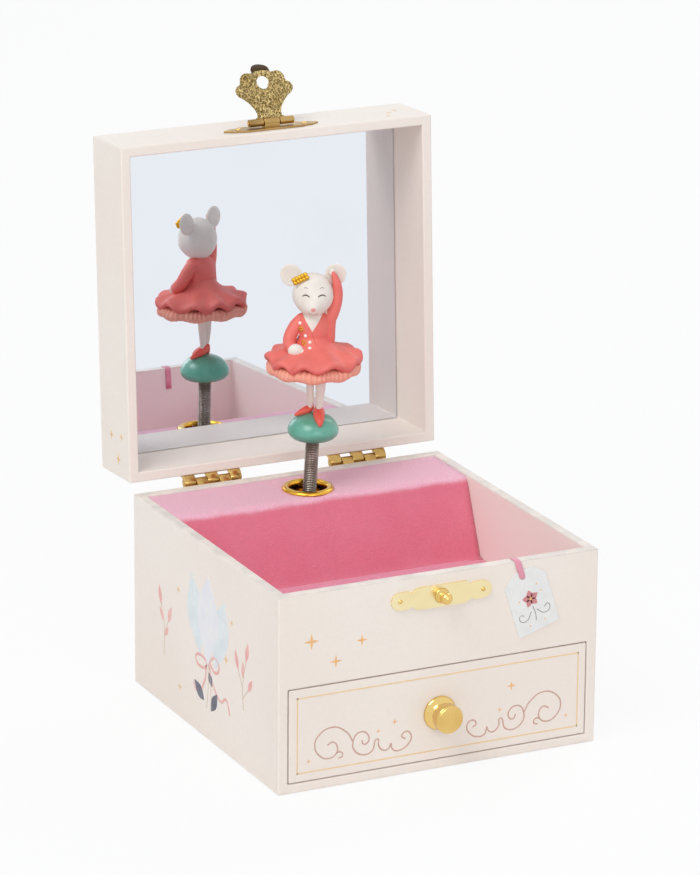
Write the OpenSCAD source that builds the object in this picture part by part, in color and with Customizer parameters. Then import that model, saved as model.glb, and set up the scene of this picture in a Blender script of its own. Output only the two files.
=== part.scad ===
// Small musical jewellery box with a turning dancer on a spring, a hinged mirror lid,
// a toggle hasp and one drawer. Millimetres. The origin is the centre of the case's
// underside, X to the right, Y to the back, Z up. The lid is shown open.

/* [Case] */
// Width of the square case
case_w = 115; // [100:1:140]
// Height of the case without its lid
case_h = 67.1; // [60:0.1:80]
// Thickness of the case and lid walls
wall = 3.5; // [3:0.1:5]
// Thickness of the bottom board
bottom_t = 3.2; // [2.5:0.1:4]
// Height of the underside of the tray board
tray_z = 35.4; // [30:0.1:42]
// Thickness of the tray board
tray_t = 3; // [2:0.1:4]
// Thickness of the padded felt on the tray floor
felt_t = 2.6; // [1:0.1:4]

/* [Movement cover] */
// Height of the top of the felt covered ledge
cover_z = 66.6; // [60:0.1:66.9]
// Thickness of the covered board
cover_t = 2.3; // [1.5:0.1:3]
// Where the ledge's front edge lies
cover_edge_y = 29; // [24:0.5:34]
// Where the slanted face meets the tray board
cover_foot_y = 17.55; // [14:0.05:22]

/* [Lid] */
// Height of the lid
lid_h = 24; // [18:0.5:30]
// Gap between the closed lid and the case
lid_gap = 0.5; // [0.4:0.05:0.8]
// Thickness of the lid's top panel
lid_top_t = 1.2; // [1:0.1:3]
// Thickness of the mirror glass
mirror_t = 0.8; // [0.7:0.1:2]
// How far the lid stands open from closed, degrees
lid_open = 92.86; // [85:0.01:100]
// Hinge axis behind the back face
hinge_back = 2.5; // [2:0.1:4]
// Hinge axis above the case's rim
hinge_up = 0.25; // [0.1:0.05:0.4]
// Distance of each hinge from the middle
hinge_x = 27.35; // [20:0.05:35]
// Length of each hinge
hinge_len = 21.2; // [15:0.1:30]
// Radius of a hinge knuckle
knuckle_r = 1.4; // [1.3:0.1:1.8]
// Radius of the hinge pins
hinge_pin_r = 0.8; // [0.6:0.05:0.9]

/* [Drawer] */
// Gap all round the drawer front
drawer_gap = 0.3; // [0.2:0.05:1]
// Depth of the drawer behind its front
drawer_len = 96; // [70:1:100]
// Height of the drawer's sides
drawer_side_h = 25; // [15:0.5:28]
// Height of the knob's centre
knob_z = 19.4; // [15:0.1:24]
// Radius of the knob's head
knob_r = 4.8; // [4:0.1:5.4]

/* [Hasp] */
// Height of the ball stud
stud_z = 59.7; // [55:0.1:63]
// Height of the hasp's hinge with the lid closed
hasp_z = 73.4; // [72:0.1:76]
// Distance of the hasp's hinge in front of the lid
hasp_out = 2.3; // [2:0.1:3]
// How far the hasp has fallen back past square to the lid, degrees
hasp_lean = 26; // [0:1:40]
// Radius of the ball on the stud
ball_r = 2; // [1.5:0.1:2.5]

/* [Figure] */
// Where the brass ring's centre lies
ring_y = 39.4; // [37:0.1:46]
// the ring's place across the ledge
ring_x = -1.2; // [-2:0.1:2]
// Sideways place of the output spindle
spindle_x = -0.6; // [-2:0.1:2]
// Sideways place of the figure on its slightly bent spring
figure_x = 0.7; // [-1:0.1:3]
// Height of the flat underside of the figure's dome
dome_z = 83.1; // [78:0.1:86]
// Radius of the dome
dome_r = 8.6; // [7:0.1:10]
// Turn of the figure about its axis, degrees
figure_turn = -26; // [-180:1:180]
// Outer radius of the tutu
tutu_r = 16.4; // [14:0.1:18]
// Radius of the spring
spring_r = 2.35; // [1.5:0.05:3]

/* [Movement] */
// Height of the drum and barrel axes
train_z = 50.5; // [49:0.1:51]
// Teeth on the spring barrel
barrel_teeth = 38; // [30:1:40]
// Teeth on the drum's gear
drum_teeth = 14; // [12:1:16]
// Module of the barrel and drum gears
gear_m = 0.55; // [0.5:0.01:0.6]
// Radius of the pinned drum
drum_r = 4.8; // [4:0.1:5]

/* [Hidden] */
$fn = 48;
half = case_w / 2;
inner = half - wall;
eps = 0.05;
hinge_y = half + hinge_back;
hinge_z = case_h + hinge_up;
lid_z = case_h + lid_gap;
lid_top_z = lid_z + lid_h;
floor_z = tray_z + tray_t;
front_z = tray_z - drawer_gap;
hasp_y = -half - hasp_out;
leaf_t = 0.7;
barrel_pr = gear_m * barrel_teeth / 2;
drum_pr = gear_m * drum_teeth / 2;
barrel_x = spindle_x - barrel_pr - drum_pr;
plate_y = inner - 1.4;
crown_teeth = 15;
face_teeth = 20;
face_r = 6.35;
crown_r = face_r * crown_teeth / face_teeth;
wheel_teeth = 30;
wheel_r = 7.5;
worm_x = spindle_x + 9;
comb_x = spindle_x + drum_r + 0.7;
spring_z = cover_z - 2.6;
barrel_end = ring_y + crown_r - 1.5;
worm_y = plate_y - 3.5;

// box from its two corners
module box(a, b) {
  translate(a)
    cube(b - a);
}

// cylinder along Y from y0 to y1
module ycyl(x, y0, y1, z, r) {
  translate([x, y1, z])
    rotate([90, 0, 0])
      cylinder(r = r, h = y1 - y0);
}

// cylinder along X from x0 to x1
module xcyl(x0, x1, y, z, r) {
  translate([x0, y, z])
    rotate([0, 90, 0])
      cylinder(r = r, h = x1 - x0);
}

// turn a lid piece from its closed place to the open rest pose
module opened() {
  translate([0, hinge_y, hinge_z])
    rotate([-lid_open, 0, 0])
      translate([0, -hinge_y, -hinge_z])
        children();
}

// flat gear outline with straight sided teeth, one tooth on +X
module gear_2d(teeth, root, tip, base_w, tip_w) {
  circle(r = root, $fn = 96);
  for (i = [0 : teeth - 1])
    rotate(i * 360 / teeth)
      polygon([[root - 0.3, -base_w / 2], [tip, -tip_w / 2], [tip, tip_w / 2],
        [root - 0.3, base_w / 2]]);
}

// gear with its axis along Y, turned so that tooth 0 points at angle a in XZ
module ygear(x, y0, y1, z, teeth, root, tip, base_w, tip_w, a) {
  translate([x, y1, z])
    rotate([90, 0, 0])
      linear_extrude(y1 - y0)
        rotate(a)
          gear_2d(teeth, root, tip, base_w, tip_w);
}

// ---------- case ----------

module left_wall() {
  color("#eadfd6")
    box([-half, -half, 0], [-inner, half, case_h]);
}

module right_wall() {
  color("#eadfd6")
    box([inner, -half, 0], [half, half, case_h]);
}

module back_wall() {
  color("#eadfd6")
    difference() {
      box([-inner, inner, 0], [inner, half, case_h]);
      ycyl(barrel_x, inner - 1, half + 1, train_z, 3.5);
    }
}

module front_panel() {
  color("#eadfd6")
    difference() {
      box([-inner, -half, tray_z], [inner, -inner, case_h]);
      ycyl(0, -half - 1, -inner + 1, stud_z, 1.25);
    }
}

module bottom_board() {
  color("#d8c3a5")
    box([-inner, -half, 0], [inner, inner, bottom_t]);
}

module tray_board() {
  color("#d8c3a5")
    box([-inner, -inner, tray_z], [inner, inner, floor_z]);
}

module tray_felt() {
  color("#e887a0")
    box([-inner, -inner, floor_z], [inner, cover_foot_y - 0.1, floor_z + felt_t]);
}

module movement_cover() {
  e = cover_edge_y;
  f = cover_foot_y;
  t = cover_t;
  color("#f0b9cd")
    difference() {
      translate([-inner + 0.1, 0, 0])
        rotate([90, 0, 90])
          linear_extrude(2 * inner - 0.2)
            polygon([[f, floor_z], [e - 0.5, cover_z - 1.7], [e, cover_z - 0.9],
              [e + 0.8, cover_z - 0.25], [e + 1.8, cover_z], [inner - 0.1, cover_z],
              [inner - 0.1, cover_z - t], [e + 2, cover_z - t], [f + t + 0.3, floor_z]]);
      translate([ring_x, ring_y, cover_z - 5])
        cylinder(r = 7.25, h = 10);
    }
}

module ferrule() {
  color("#d9a441")
    translate([ring_x, ring_y, cover_z])
      rotate_extrude($fn = 96)
        polygon([[6.3, -4.2], [7, -4.2], [7, 0], [8.8, 0], [8.85, 0.4], [8.5, 1],
          [7.9, 1.3], [7.2, 1.35], [6.6, 1], [6.3, 0.3]]);
}

module catch_plate() {
  color("#e4c886")
    difference() {
      translate([0, -half, stud_z])
        rotate([90, 0, 0])
          linear_extrude(0.8)
            union() {
              square([19, 7.5], center = true);
              square([26, 4.4], center = true);
              for (s = [-1, 1])
                translate([s * 14.9, 0])
                  scale([1, 0.92])
                    circle(r = 3.1);
            }
      ycyl(0, -half - 2, -half + 1, stud_z, 1.25);
      for (s = [-1, 1])
        ycyl(s * 14.9, -half - 2, -half + 1, stud_z, 0.6);
    }
}

module catch_stud() {
  color("#e9c567")
    translate([0, -half + 3, stud_z])
      rotate([90, 0, 0])
        rotate_extrude()
          union() {
            square([1.2, 6]);
            translate([0, 6.9])
              intersection() {
                circle(r = ball_r);
                translate([0, -ball_r])
                  square([ball_r, 2 * ball_r]);
              }
          }
}

module catch_nails() {
  color("#f0dda6")
    for (s = [-1, 1]) {
      ycyl(s * 14.9, -half - 1.3, -half - 0.8, stud_z, 1.1);
      ycyl(s * 14.9, -half - 0.9, -half, stud_z, 0.55);
    }
}

// side view of the strap that curls from a leaf round to its knuckle, with the axis at 0
module strap_outline(up) {
  polygon([for (p = [[-hinge_back, 2.4], [-hinge_back, 0.5], [-hinge_back + 0.7, -0.5],
    [-0.75, -1.15], [0, 0], [-1, 0.95], [-hinge_back + leaf_t, 1.7],
    [-hinge_back + leaf_t, 2.4]]) [p[0], up * p[1]]]);
}

// one leaf set: up is 1 for the lid's leaves and -1 for the case's
module leaves(up, knuckles) {
  k = hinge_len / 5;
  for (s = [-1, 1])
    translate([s * hinge_x - hinge_len / 2, 0, 0]) {
      difference() {
        union() {
          box([0, half, min(hinge_z + up * 2.3, hinge_z + up * 11)],
            [hinge_len, half + leaf_t, max(hinge_z + up * 2.3, hinge_z + up * 11)]);
          for (i = knuckles) {
            translate([i * k + 0.1, hinge_y, hinge_z])
              rotate([90, 0, 90])
                linear_extrude(k - 0.2)
                  strap_outline(up);
            xcyl(i * k + 0.1, i * k + k - 0.1, hinge_y, hinge_z, knuckle_r);
          }
        }
        xcyl(-1, hinge_len + 1, hinge_y, hinge_z, hinge_pin_r + 0.05);
        for (t = [0.2, 0.8])
          ycyl(t * hinge_len, half - 1, half + 2, hinge_z + up * 7, 0.75);
      }
    }
}

module leaf_nails(up) {
  for (s = [-1, 1])
    for (t = [0.2, 0.8])
      translate([s * hinge_x - hinge_len / 2 + t * hinge_len, 0, 0]) {
        ycyl(0, half, half + leaf_t, hinge_z + up * 7, 0.7);
        ycyl(0, half + leaf_t, half + leaf_t + 0.5, hinge_z + up * 7, 1.3);
      }
}

module case_hinge_leaves() {
  color("#c9a24e")
    leaves(-1, [1, 3]);
}

module case_hinge_nails() {
  color("#e0c070")
    leaf_nails(-1);
}

module tag_ribbon() {
  color("#e9a3b4")
    difference() {
      box([26.3, -half - 0.3, 64], [28.7, -inner + 0.3, case_h + 0.3]);
      box([26, -half, 50], [29, -inner, case_h]);
    }
}

module paper_tag() {
  w = 7.65;
  color("#dcdad6")
    translate([33.2, -half, 51.4])
      rotate([90, -18, 0])
        linear_extrude(0.35)
          difference() {
            polygon([[-w, -9.1], [w, -9.1], [w, 9.2], [4.2, 12.3], [1.2, 13], [-1.2, 13],
              [-4.2, 12.3], [-w, 9.2]]);
            translate([-0.5, 10.6])
              circle(r = 0.9);
          }
}

// ---------- movement ----------

module key_bush() {
  color("#b98f45")
    difference() {
      ycyl(barrel_x, inner, half + 0.6, train_z, 3.45);
      ycyl(barrel_x, inner - 1, half + 2, train_z, 1.65);
    }
}

module movement_plate() {
  color("#b9b4a8")
    difference() {
      box([-27, plate_y, floor_z], [22, inner - 0.05, 62.4]);
      ycyl(barrel_x, plate_y - 1, inner + 1, train_z, 1.65);
      ycyl(spindle_x, plate_y - 1, inner + 1, train_z, 1.05);
    }
}

module front_bridge() {
  color("#b9b4a8")
    difference() {
      box([-24, 27.2, floor_z], [6, 28.4, 54.6]);
      ycyl(barrel_x, 26, 30, train_z, 1.65);
      ycyl(spindle_x, 26, 30, train_z, 1.05);
    }
}

module bridge_pillars() {
  color("#a9a49a")
    for (p = [[-22.3, 40], [4.2, 40]])
      ycyl(p[0], 28.4, plate_y, p[1], 1.4);
}

module comb_block() {
  color("#a9a49a")
    difference() {
      box([13, 28.6, floor_z], [20, 40.4, train_z - 0.3]);
      for (y = [31.5, 37.5])
        translate([17, y, train_z - 6])
          cylinder(r = 0.85, h = 8);
    }
}

module comb() {
  color("#8d9298")
    difference() {
      box([comb_x, 29.2, train_z - 0.3], [20, 39.8, train_z + 0.5]);
      for (i = [1 : 17])
        box([comb_x - 1, 29.2 + i * 0.589 - 0.09, train_z - 1],
          [13.5, 29.2 + i * 0.589 + 0.09, train_z + 1]);
      for (y = [31.5, 37.5])
        translate([17, y, train_z - 1])
          cylinder(r = 0.85, h = 3);
    }
}

module comb_screws() {
  color("#d8c27a")
    for (y = [31.5, 37.5])
      translate([17, y, train_z - 5]) {
        cylinder(r = 0.8, h = 5.5);
        translate([0, 0, 5.5])
          cylinder(r = 1.7, h = 1);
      }
}

module governor_bracket() {
  color("#b9b4a8")
    difference() {
      union() {
        box([worm_x - 2, plate_y - 0.8, 45.5], [worm_x + 2, plate_y, 55.2]);
        box([worm_x - 1.4, worm_y - 1.4, 45.5], [worm_x + 1.4, plate_y - 0.4, 46.7]);
        box([worm_x - 1.4, worm_y - 1.4, 54], [worm_x + 1.4, plate_y - 0.4, 55.2]);
      }
      translate([worm_x, worm_y, 44])
        cylinder(r = 0.55, h = 14);
    }
}

module winding_arbor() {
  color("#9a9a9a")
    ycyl(barrel_x, 27.4, half + 1.2, train_z, 1.6);
}

module winding_key() {
  color("#d1a94f")
    difference() {
      union() {
        ycyl(barrel_x, half + 1.2, half + 8, train_z, 2.6);
        translate([barrel_x, half + 12, train_z - 0.9])
          linear_extrude(1.8)
            difference() {
              union() {
                for (s = [-1, 1])
                  translate([s * 5.6, 0])
                    circle(r = 5.4);
                translate([-2.4, -6])
                  square([4.8, 8]);
              }
              for (s = [-1, 1])
                translate([s * 5.8, 0])
                  circle(r = 2.2);
            }
      }
      ycyl(barrel_x, half + 1, half + 3.2, train_z, 1.3);
    }
}

module spring_barrel() {
  color("#c2a15a")
    difference() {
      union() {
        ycyl(barrel_x, 29.4, barrel_end, train_z, 8.5);
        ycyl(barrel_x, barrel_end - 0.4, plate_y - 2, train_z, 4);
        ygear(barrel_x, plate_y - 2.4, plate_y - 0.6, train_z, barrel_teeth,
          barrel_pr - 0.6, barrel_pr + 0.4, 0.95, 0.4, 0);
      }
      ycyl(barrel_x, 29, plate_y, train_z, 1.65);
    }
}

module music_drum() {
  color("#cdb36a")
    difference() {
      union() {
        ycyl(spindle_x, 29.2, 39.8, train_z, drum_r);
        for (i = [0 : 17])
          translate([spindle_x, 29.5 + i * 0.589, train_z])
            rotate([0, 70 + i * 137, 0])
              cylinder(r = 0.16, h = drum_r + 0.35, $fn = 14);
      }
      ycyl(spindle_x, 28, 42, train_z, 1);
    }
}

module drum_shaft() {
  color("#9a9a9a")
    union() {
      ycyl(spindle_x, 27.4, inner - 0.15, train_z, 1);
      ygear(spindle_x, ring_y + crown_r - 0.5, ring_y + crown_r + 0.5, train_z,
        face_teeth, face_r - 0.35, face_r + 0.35, 0.8, 0.4, 90);
      ygear(spindle_x, worm_y - 0.4, worm_y + 0.4, train_z, wheel_teeth,
        wheel_r - 0.4, wheel_r + 0.2, 0.7, 0.3, 0);
      ygear(spindle_x, plate_y - 2.4, plate_y - 0.6, train_z, drum_teeth,
        drum_pr - 0.6, drum_pr + 0.4, 0.85, 0.35, 180 - 180 / drum_teeth);
    }
}

module output_spindle() {
  z0 = train_z + face_r;
  color("#c8a859")
    translate([spindle_x, ring_y, z0]) {
      translate([0, 0, 0.65])
        cylinder(r = crown_r + 1.1, h = 1.4);
      for (i = [0 : crown_teeth - 1])
        rotate([0, 0, 90 + (i + 0.5) * 360 / crown_teeth])
          translate([crown_r - 1, -0.28, -0.1])
            cube([2, 0.56, 0.9]);
      cylinder(r = 2.6, h = spring_z - 0.3 - z0);
    }
}

module governor_fly() {
  color("#b8b8b8")
    translate([worm_x, worm_y, 0]) {
      translate([0, 0, 45])
        cylinder(r = 0.5, h = 17.2);
      translate([0, 0, train_z - 2])
        rotate([0, 0, 90 - 2 * 114.6])
          linear_extrude(4, twist = -4 * 114.6, slices = 24)
            scale([1, 0.62])
              circle(r = 1.6, $fn = 14);
      translate([0, 0, 58.8])
        box([-2.9, -0.2, 0], [2.9, 0.2, 3.2]);
    }
}

// ---------- lid ----------

module lid_left() {
  color("#eadfd6")
    opened()
      box([-half, -half, lid_z], [-inner, half, lid_top_z]);
}

module lid_right() {
  color("#eadfd6")
    opened()
      box([inner, -half, lid_z], [half, half, lid_top_z]);
}

module lid_front() {
  color("#eadfd6")
    opened()
      box([-inner, -half, lid_z], [inner, -inner, lid_top_z]);
}

module lid_back() {
  color("#eadfd6")
    opened()
      box([-inner, inner, lid_z], [inner, half, lid_top_z]);
}

module lid_top() {
  color("#eadfd6")
    opened()
      box([-inner, -inner, lid_top_z - lid_top_t], [inner, inner, lid_top_z]);
}

module mirror() {
  color("#cfd9df")
    opened()
      box([-inner, -inner, lid_top_z - lid_top_t - mirror_t],
        [inner, inner, lid_top_z - lid_top_t]);
}

module lid_hinge_leaves() {
  color("#c9a24e")
    opened()
      leaves(1, [0, 2, 4]);
}

module lid_hinge_nails() {
  color("#e0c070")
    opened()
      leaf_nails(1);
}

module hinge_pins() {
  color("#b58f43")
    for (s = [-1, 1])
      xcyl(s * hinge_x - hinge_len / 2, s * hinge_x + hinge_len / 2, hinge_y, hinge_z, hinge_pin_r);
}

module hasp_base() {
  color("#b98a45")
    opened()
      difference() {
        union() {
          translate([0, -half, hasp_z])
            rotate([90, 0, 0])
              linear_extrude(leaf_t)
                union() {
                  polygon([[-17.6, 0], [-14, 2.2], [-11, 3.6], [-7, 3], [0, 4.6], [7, 3],
                    [11, 3.6], [14, 2.2], [17.6, 0], [14, -2.2], [11, -3.4], [-11, -3.4],
                    [-14, -2.2]]);
                }
          box([-2.8, hasp_y, hasp_z - 1.3], [2.8, -half, hasp_z + 1.3]);
          xcyl(-2.8, 2.8, hasp_y, hasp_z, 1.3);
        }
        xcyl(-20, 20, hasp_y, hasp_z, 0.6);
        for (s = [-1, 1])
          ycyl(s * 12.2, -half - 2, -half + 1, hasp_z, 0.6);
      }
}

module hasp_nails() {
  color("#f0dda6")
    opened()
      for (s = [-1, 1]) {
        ycyl(s * 12.2, -half - leaf_t, -half, hasp_z, 0.55);
        ycyl(s * 12.2, -half - leaf_t - 0.5, -half - leaf_t, hasp_z, 1.1);
      }
}

module hasp_pin() {
  color("#b58f43")
    opened()
      xcyl(-8.4, 8.4, hasp_y, hasp_z, 0.55);
}

// shell shaped flap standing straight out from the lid's front
module hasp() {
  reach = hasp_z - stud_z;
  color("#a8793c")
    opened()
      translate([0, hasp_y, hasp_z])
        rotate([-hasp_lean, 0, 0])
        difference() {
          union() {
            translate([0, 0, -0.4])
              linear_extrude(0.8)
                union() {
                  translate([-8.2, -1.2])
                    square([16.4, 1.2]);
                  polygon([[-4.6, 0], [-4.5, -3.4], [-6, -6], [-9.2, -9.4], [-8.8, -12.6],
                    [-6, -16.2], [6, -16.2], [8.8, -12.6], [9.2, -9.4], [6, -6],
                    [4.5, -3.4], [4.6, 0]]);
                  for (s = [-1, 1]) {
                    translate([s * 8, -11.2])
                      circle(r = 2.6);
                    translate([s * 4.6, -14.8])
                      circle(r = 2.9);
                  }
                  translate([0, -15.4])
                    circle(r = 2.6);
                }
            for (s = [-1, 1])
              xcyl(s > 0 ? 3.1 : -8.2, s > 0 ? 8.2 : -3.1, 0, 0, 1.3);
            translate([-3, -17.2, 0])
              rotate([-35, 0, 0])
                box([0, -3.6, -0.4], [6, 1, 0.4]);
          }
          box([-3.1, -2, -2], [3.1, 2, 2]);
          xcyl(-20, 20, 0, 0, 0.6);
          translate([0, -reach, -2])
            cylinder(r = 2.3, h = 4);
        }
}

// ---------- drawer ----------

module drawer_front() {
  color("#eadfd6")
    difference() {
      box([-inner + drawer_gap, -half, bottom_t + drawer_gap],
        [inner - drawer_gap, -inner, front_z]);
      ycyl(0, -half - 1, -inner + 1, knob_z, 1.55);
    }
}

module drawer_side(x0, x1) {
  z0 = bottom_t + drawer_gap;
  box([x0, -inner, z0], [x1, -inner + drawer_len, z0 + drawer_side_h]);
}

module drawer_left() {
  color("#d8c3a5")
    drawer_side(-inner + 0.6, -inner + 3);
}

module drawer_right() {
  color("#d8c3a5")
    drawer_side(inner - 3, inner - 0.6);
}

module drawer_back() {
  z0 = bottom_t + drawer_gap;
  y1 = -inner + drawer_len;
  color("#d8c3a5")
    box([-inner + 3, y1 - 2.4, z0], [inner - 3, y1, z0 + drawer_side_h]);
}

module drawer_bottom() {
  z0 = bottom_t + drawer_gap;
  color("#d8c3a5")
    box([-inner + 3, -inner, z0], [inner - 3, -inner + drawer_len - 2.4, z0 + 2]);
}

module drawer_felt() {
  z0 = bottom_t + drawer_gap + 2;
  color("#e887a0")
    box([-inner + 3.1, -inner + 0.1, z0], [inner - 3.1, -inner + drawer_len - 2.5, z0 + 1]);
}

module knob() {
  color("#d8b35c")
    translate([0, -half, knob_z])
      rotate([90, 0, 0])
        rotate_extrude($fn = 64)
          polygon([[0, 2], [1.2, 2], [1.2, 0], [5.7, 0], [5.8, 0.7], [5.4, 1.3],
            [4.5, 2], [3.8, 2.7], [3.6, 3.3], [3.9, 3.9], [knob_r - 0.2, 4.3],
            [knob_r, 4.7], [knob_r, 7.5], [4.4, 8], [0, 8.05]]);
}

module knob_screw() {
  color("#b5b0a2")
    union() {
      ycyl(0, -half - 2, -inner, knob_z, 1.15);
      ycyl(0, -inner, -inner + 1.4, knob_z, 2.8);
    }
}

// ---------- figure ----------

module spring() {
  color("#8e9296")
    hull() {
      translate([spindle_x, ring_y, spring_z])
        cylinder(r = spring_r, h = 0.1);
      translate([figure_x, ring_y, dome_z - 1.6])
        cylinder(r = spring_r, h = 0.1);
    }
}

module spring_collar() {
  color("#8a6a4a")
    translate([figure_x, ring_y, dome_z - 1.5])
      cylinder(r = 3.3, h = 1.2);
}

// dome grown all over by more
module dome_body(more) {
  r = dome_r + more;
  translate([figure_x, ring_y, dome_z])
    rotate_extrude($fn = 64)
      polygon([[0, -more], [r - 1.8, -more], [r - 0.5, 0.8], [r, 2.4], [r + 0.1, 3.6],
        [r - 0.4, 5.4 + more / 2], [r - 1.6, 7.4 + more / 2], [r - 3.6, 9.1 + more],
        [r - 6, 10.1 + more], [0, 10.5 + more]]);
}

module dome() {
  color("#63a896")
    dome_body(0);
}

// rounded limb through a list of [x, y, z, radius] points
module limb(points) {
  for (i = [0 : len(points) - 2])
    hull() {
      for (p = [points[i], points[i + 1]])
        translate([p[0], p[1], p[2]])
          sphere(r = p[3], $fn = 16);
    }
}

// layered skirt with a scalloped hem
module skirt(r, z, thick, waves, depth) {
  for (i = [0 : waves - 1])
    rotate([0, 0, i * 360 / waves])
      translate([r - depth, 0, z])
        cylinder(r = depth, h = thick, $fn = 20);
  translate([0, 0, z])
    cylinder(r = r - depth, h = thick);
}

module dancer() {
  color("#ee8076")
    difference() {
      translate([figure_x, ring_y, dome_z])
        rotate([0, 0, figure_turn]) {
          limb([[-0.9, 0.6, 25, 1.9], [-0.9, 0.6, 12.5, 1.5], [-5.6, -0.4, 10.3, 1.5]]);
          limb([[1.9, -0.4, 25, 2.2], [1.4, -0.6, 12.7, 1.8], [1.8, -5.4, 9.5, 1.5]]);
          skirt(16, 23.9, 4, 18, 2.4);
          skirt(tutu_r, 27.7, 5, 12, 3.2);
          translate([0, 0, 27])
            rotate_extrude()
              polygon([[0, 0], [12, 0], [13, 4], [11.5, 6.5], [8, 9], [5.8, 12], [5.6, 15],
                [5, 17.2], [3.4, 19], [0, 19]]);
          translate([-0.2, -0.4, 52.4])
            scale([0.92, 0.88, 1.02])
              sphere(r = 7.7, $fn = 48);
          translate([0.4, -5.8, 48.6])
            sphere(r = 2.8, $fn = 32);
          for (p = [[-8, 58.6, 3.5], [7.4, 58.8, 3.5]])
            translate([p[0], 2, p[1]])
              rotate([90, 0, 0])
                cylinder(r = p[2], h = 2.4, $fn = 32);
          limb([[4.4, 0, 40, 2.6], [6.4, -0.6, 45, 2], [8.2, -1, 50.6, 1.6], [7.6, -0.6, 58.4, 1.4]]);
          limb([[-4.6, 0, 42, 2], [-8.4, -1.4, 36.8, 1.9], [-5.8, -5.6, 32.8, 2.2]]);
        }
      dome_body(0.08);
    }
}

left_wall();
right_wall();
back_wall();
front_panel();
bottom_board();
tray_board();
tray_felt();
movement_cover();
ferrule();
catch_plate();
catch_stud();
catch_nails();
case_hinge_leaves();
case_hinge_nails();
tag_ribbon();
paper_tag();
key_bush();
movement_plate();
front_bridge();
bridge_pillars();
comb_block();
comb();
comb_screws();
governor_bracket();
spring();
lid_left();
lid_right();
lid_front();
lid_back();
lid_top();
mirror();
lid_hinge_leaves();
lid_hinge_nails();
hinge_pins();
hasp_base();
hasp_nails();
hasp_pin();
hasp();
drawer_front();
drawer_left();
drawer_right();
drawer_back();
drawer_bottom();
drawer_felt();
knob();
knob_screw();
winding_key();
winding_arbor();
spring_barrel();
music_drum();
drum_shaft();
output_spindle();
governor_fly();
spring_collar();
dome();
dancer();
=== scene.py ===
import math

import bmesh
import bpy
from mathutils import Matrix, Vector
from mathutils.bvhtree import BVHTree


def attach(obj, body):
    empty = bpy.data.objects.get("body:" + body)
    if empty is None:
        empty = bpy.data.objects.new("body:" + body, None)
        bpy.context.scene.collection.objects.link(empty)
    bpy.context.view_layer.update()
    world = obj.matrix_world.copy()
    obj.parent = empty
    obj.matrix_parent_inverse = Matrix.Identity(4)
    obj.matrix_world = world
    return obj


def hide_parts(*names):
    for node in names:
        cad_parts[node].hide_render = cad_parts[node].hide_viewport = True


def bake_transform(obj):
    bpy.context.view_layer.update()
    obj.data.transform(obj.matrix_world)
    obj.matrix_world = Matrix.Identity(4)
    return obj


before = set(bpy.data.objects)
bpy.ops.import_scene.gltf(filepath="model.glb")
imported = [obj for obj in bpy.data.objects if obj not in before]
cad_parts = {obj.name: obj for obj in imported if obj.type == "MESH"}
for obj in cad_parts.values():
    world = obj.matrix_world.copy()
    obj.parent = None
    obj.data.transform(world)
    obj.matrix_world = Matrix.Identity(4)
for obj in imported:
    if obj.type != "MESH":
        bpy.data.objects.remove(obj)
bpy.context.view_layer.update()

# ---------------------------------------------------------------------------------------
# Camera, table and lights. A long lens looks down a little on the box's left front
# corner; a pale seamless table, one large soft lamp high on the left and two weak
# fills stand for a plain product studio.
# ---------------------------------------------------------------------------------------
MM = 0.001
scene = bpy.context.scene
scene.view_settings.view_transform = "Standard"

lens = bpy.data.cameras.new("camera")
lens.sensor_width = 36
lens.sensor_fit = "AUTO"
lens.lens = 192.33
lens.clip_end = 20
camera = bpy.data.objects.new("camera", lens)
scene.collection.objects.link(camera)
look = Vector((0.41895, 0.85603, -0.3028))
turn = look.to_track_quat("-Z", "Y").to_matrix().to_4x4()
roll = Matrix.Rotation(math.radians(0.44), 4, "Z")
camera.matrix_world = Matrix.Translation(Vector((-647.8, -1313.9, 561.4)) * MM) @ turn @ roll
scene.camera = camera


class Wire:
    """One shader value. Ordinary arithmetic on it adds Math nodes."""

    def __init__(self, finish, socket):
        self.finish = finish
        self.socket = socket

    def math(self, operation, *others, clamp=False):
        settings = {"operation": operation, "use_clamp": clamp}
        return self.finish.add("Math", settings, dict(enumerate((self,) + others)))

    def __add__(self, other):
        return self.math("ADD", other)

    def __radd__(self, other):
        return self.math("ADD", other)

    def __sub__(self, other):
        return self.math("SUBTRACT", other)

    def __rsub__(self, other):
        return self.finish.add("Math", {"operation": "SUBTRACT"}, {0: other, 1: self})

    def __mul__(self, other):
        return self.math("MULTIPLY", other)

    def __rmul__(self, other):
        return self.math("MULTIPLY", other)

    def __truediv__(self, other):
        return self.math("DIVIDE", other)

    def __abs__(self):
        return self.math("ABSOLUTE")

    def ramp(self, low, high):
        settings = {"interpolation_type": "SMOOTHSTEP"}
        inputs = {"Value": self, "From Min": low, "From Max": high}
        return self.finish.add("MapRange", settings, inputs)


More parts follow.
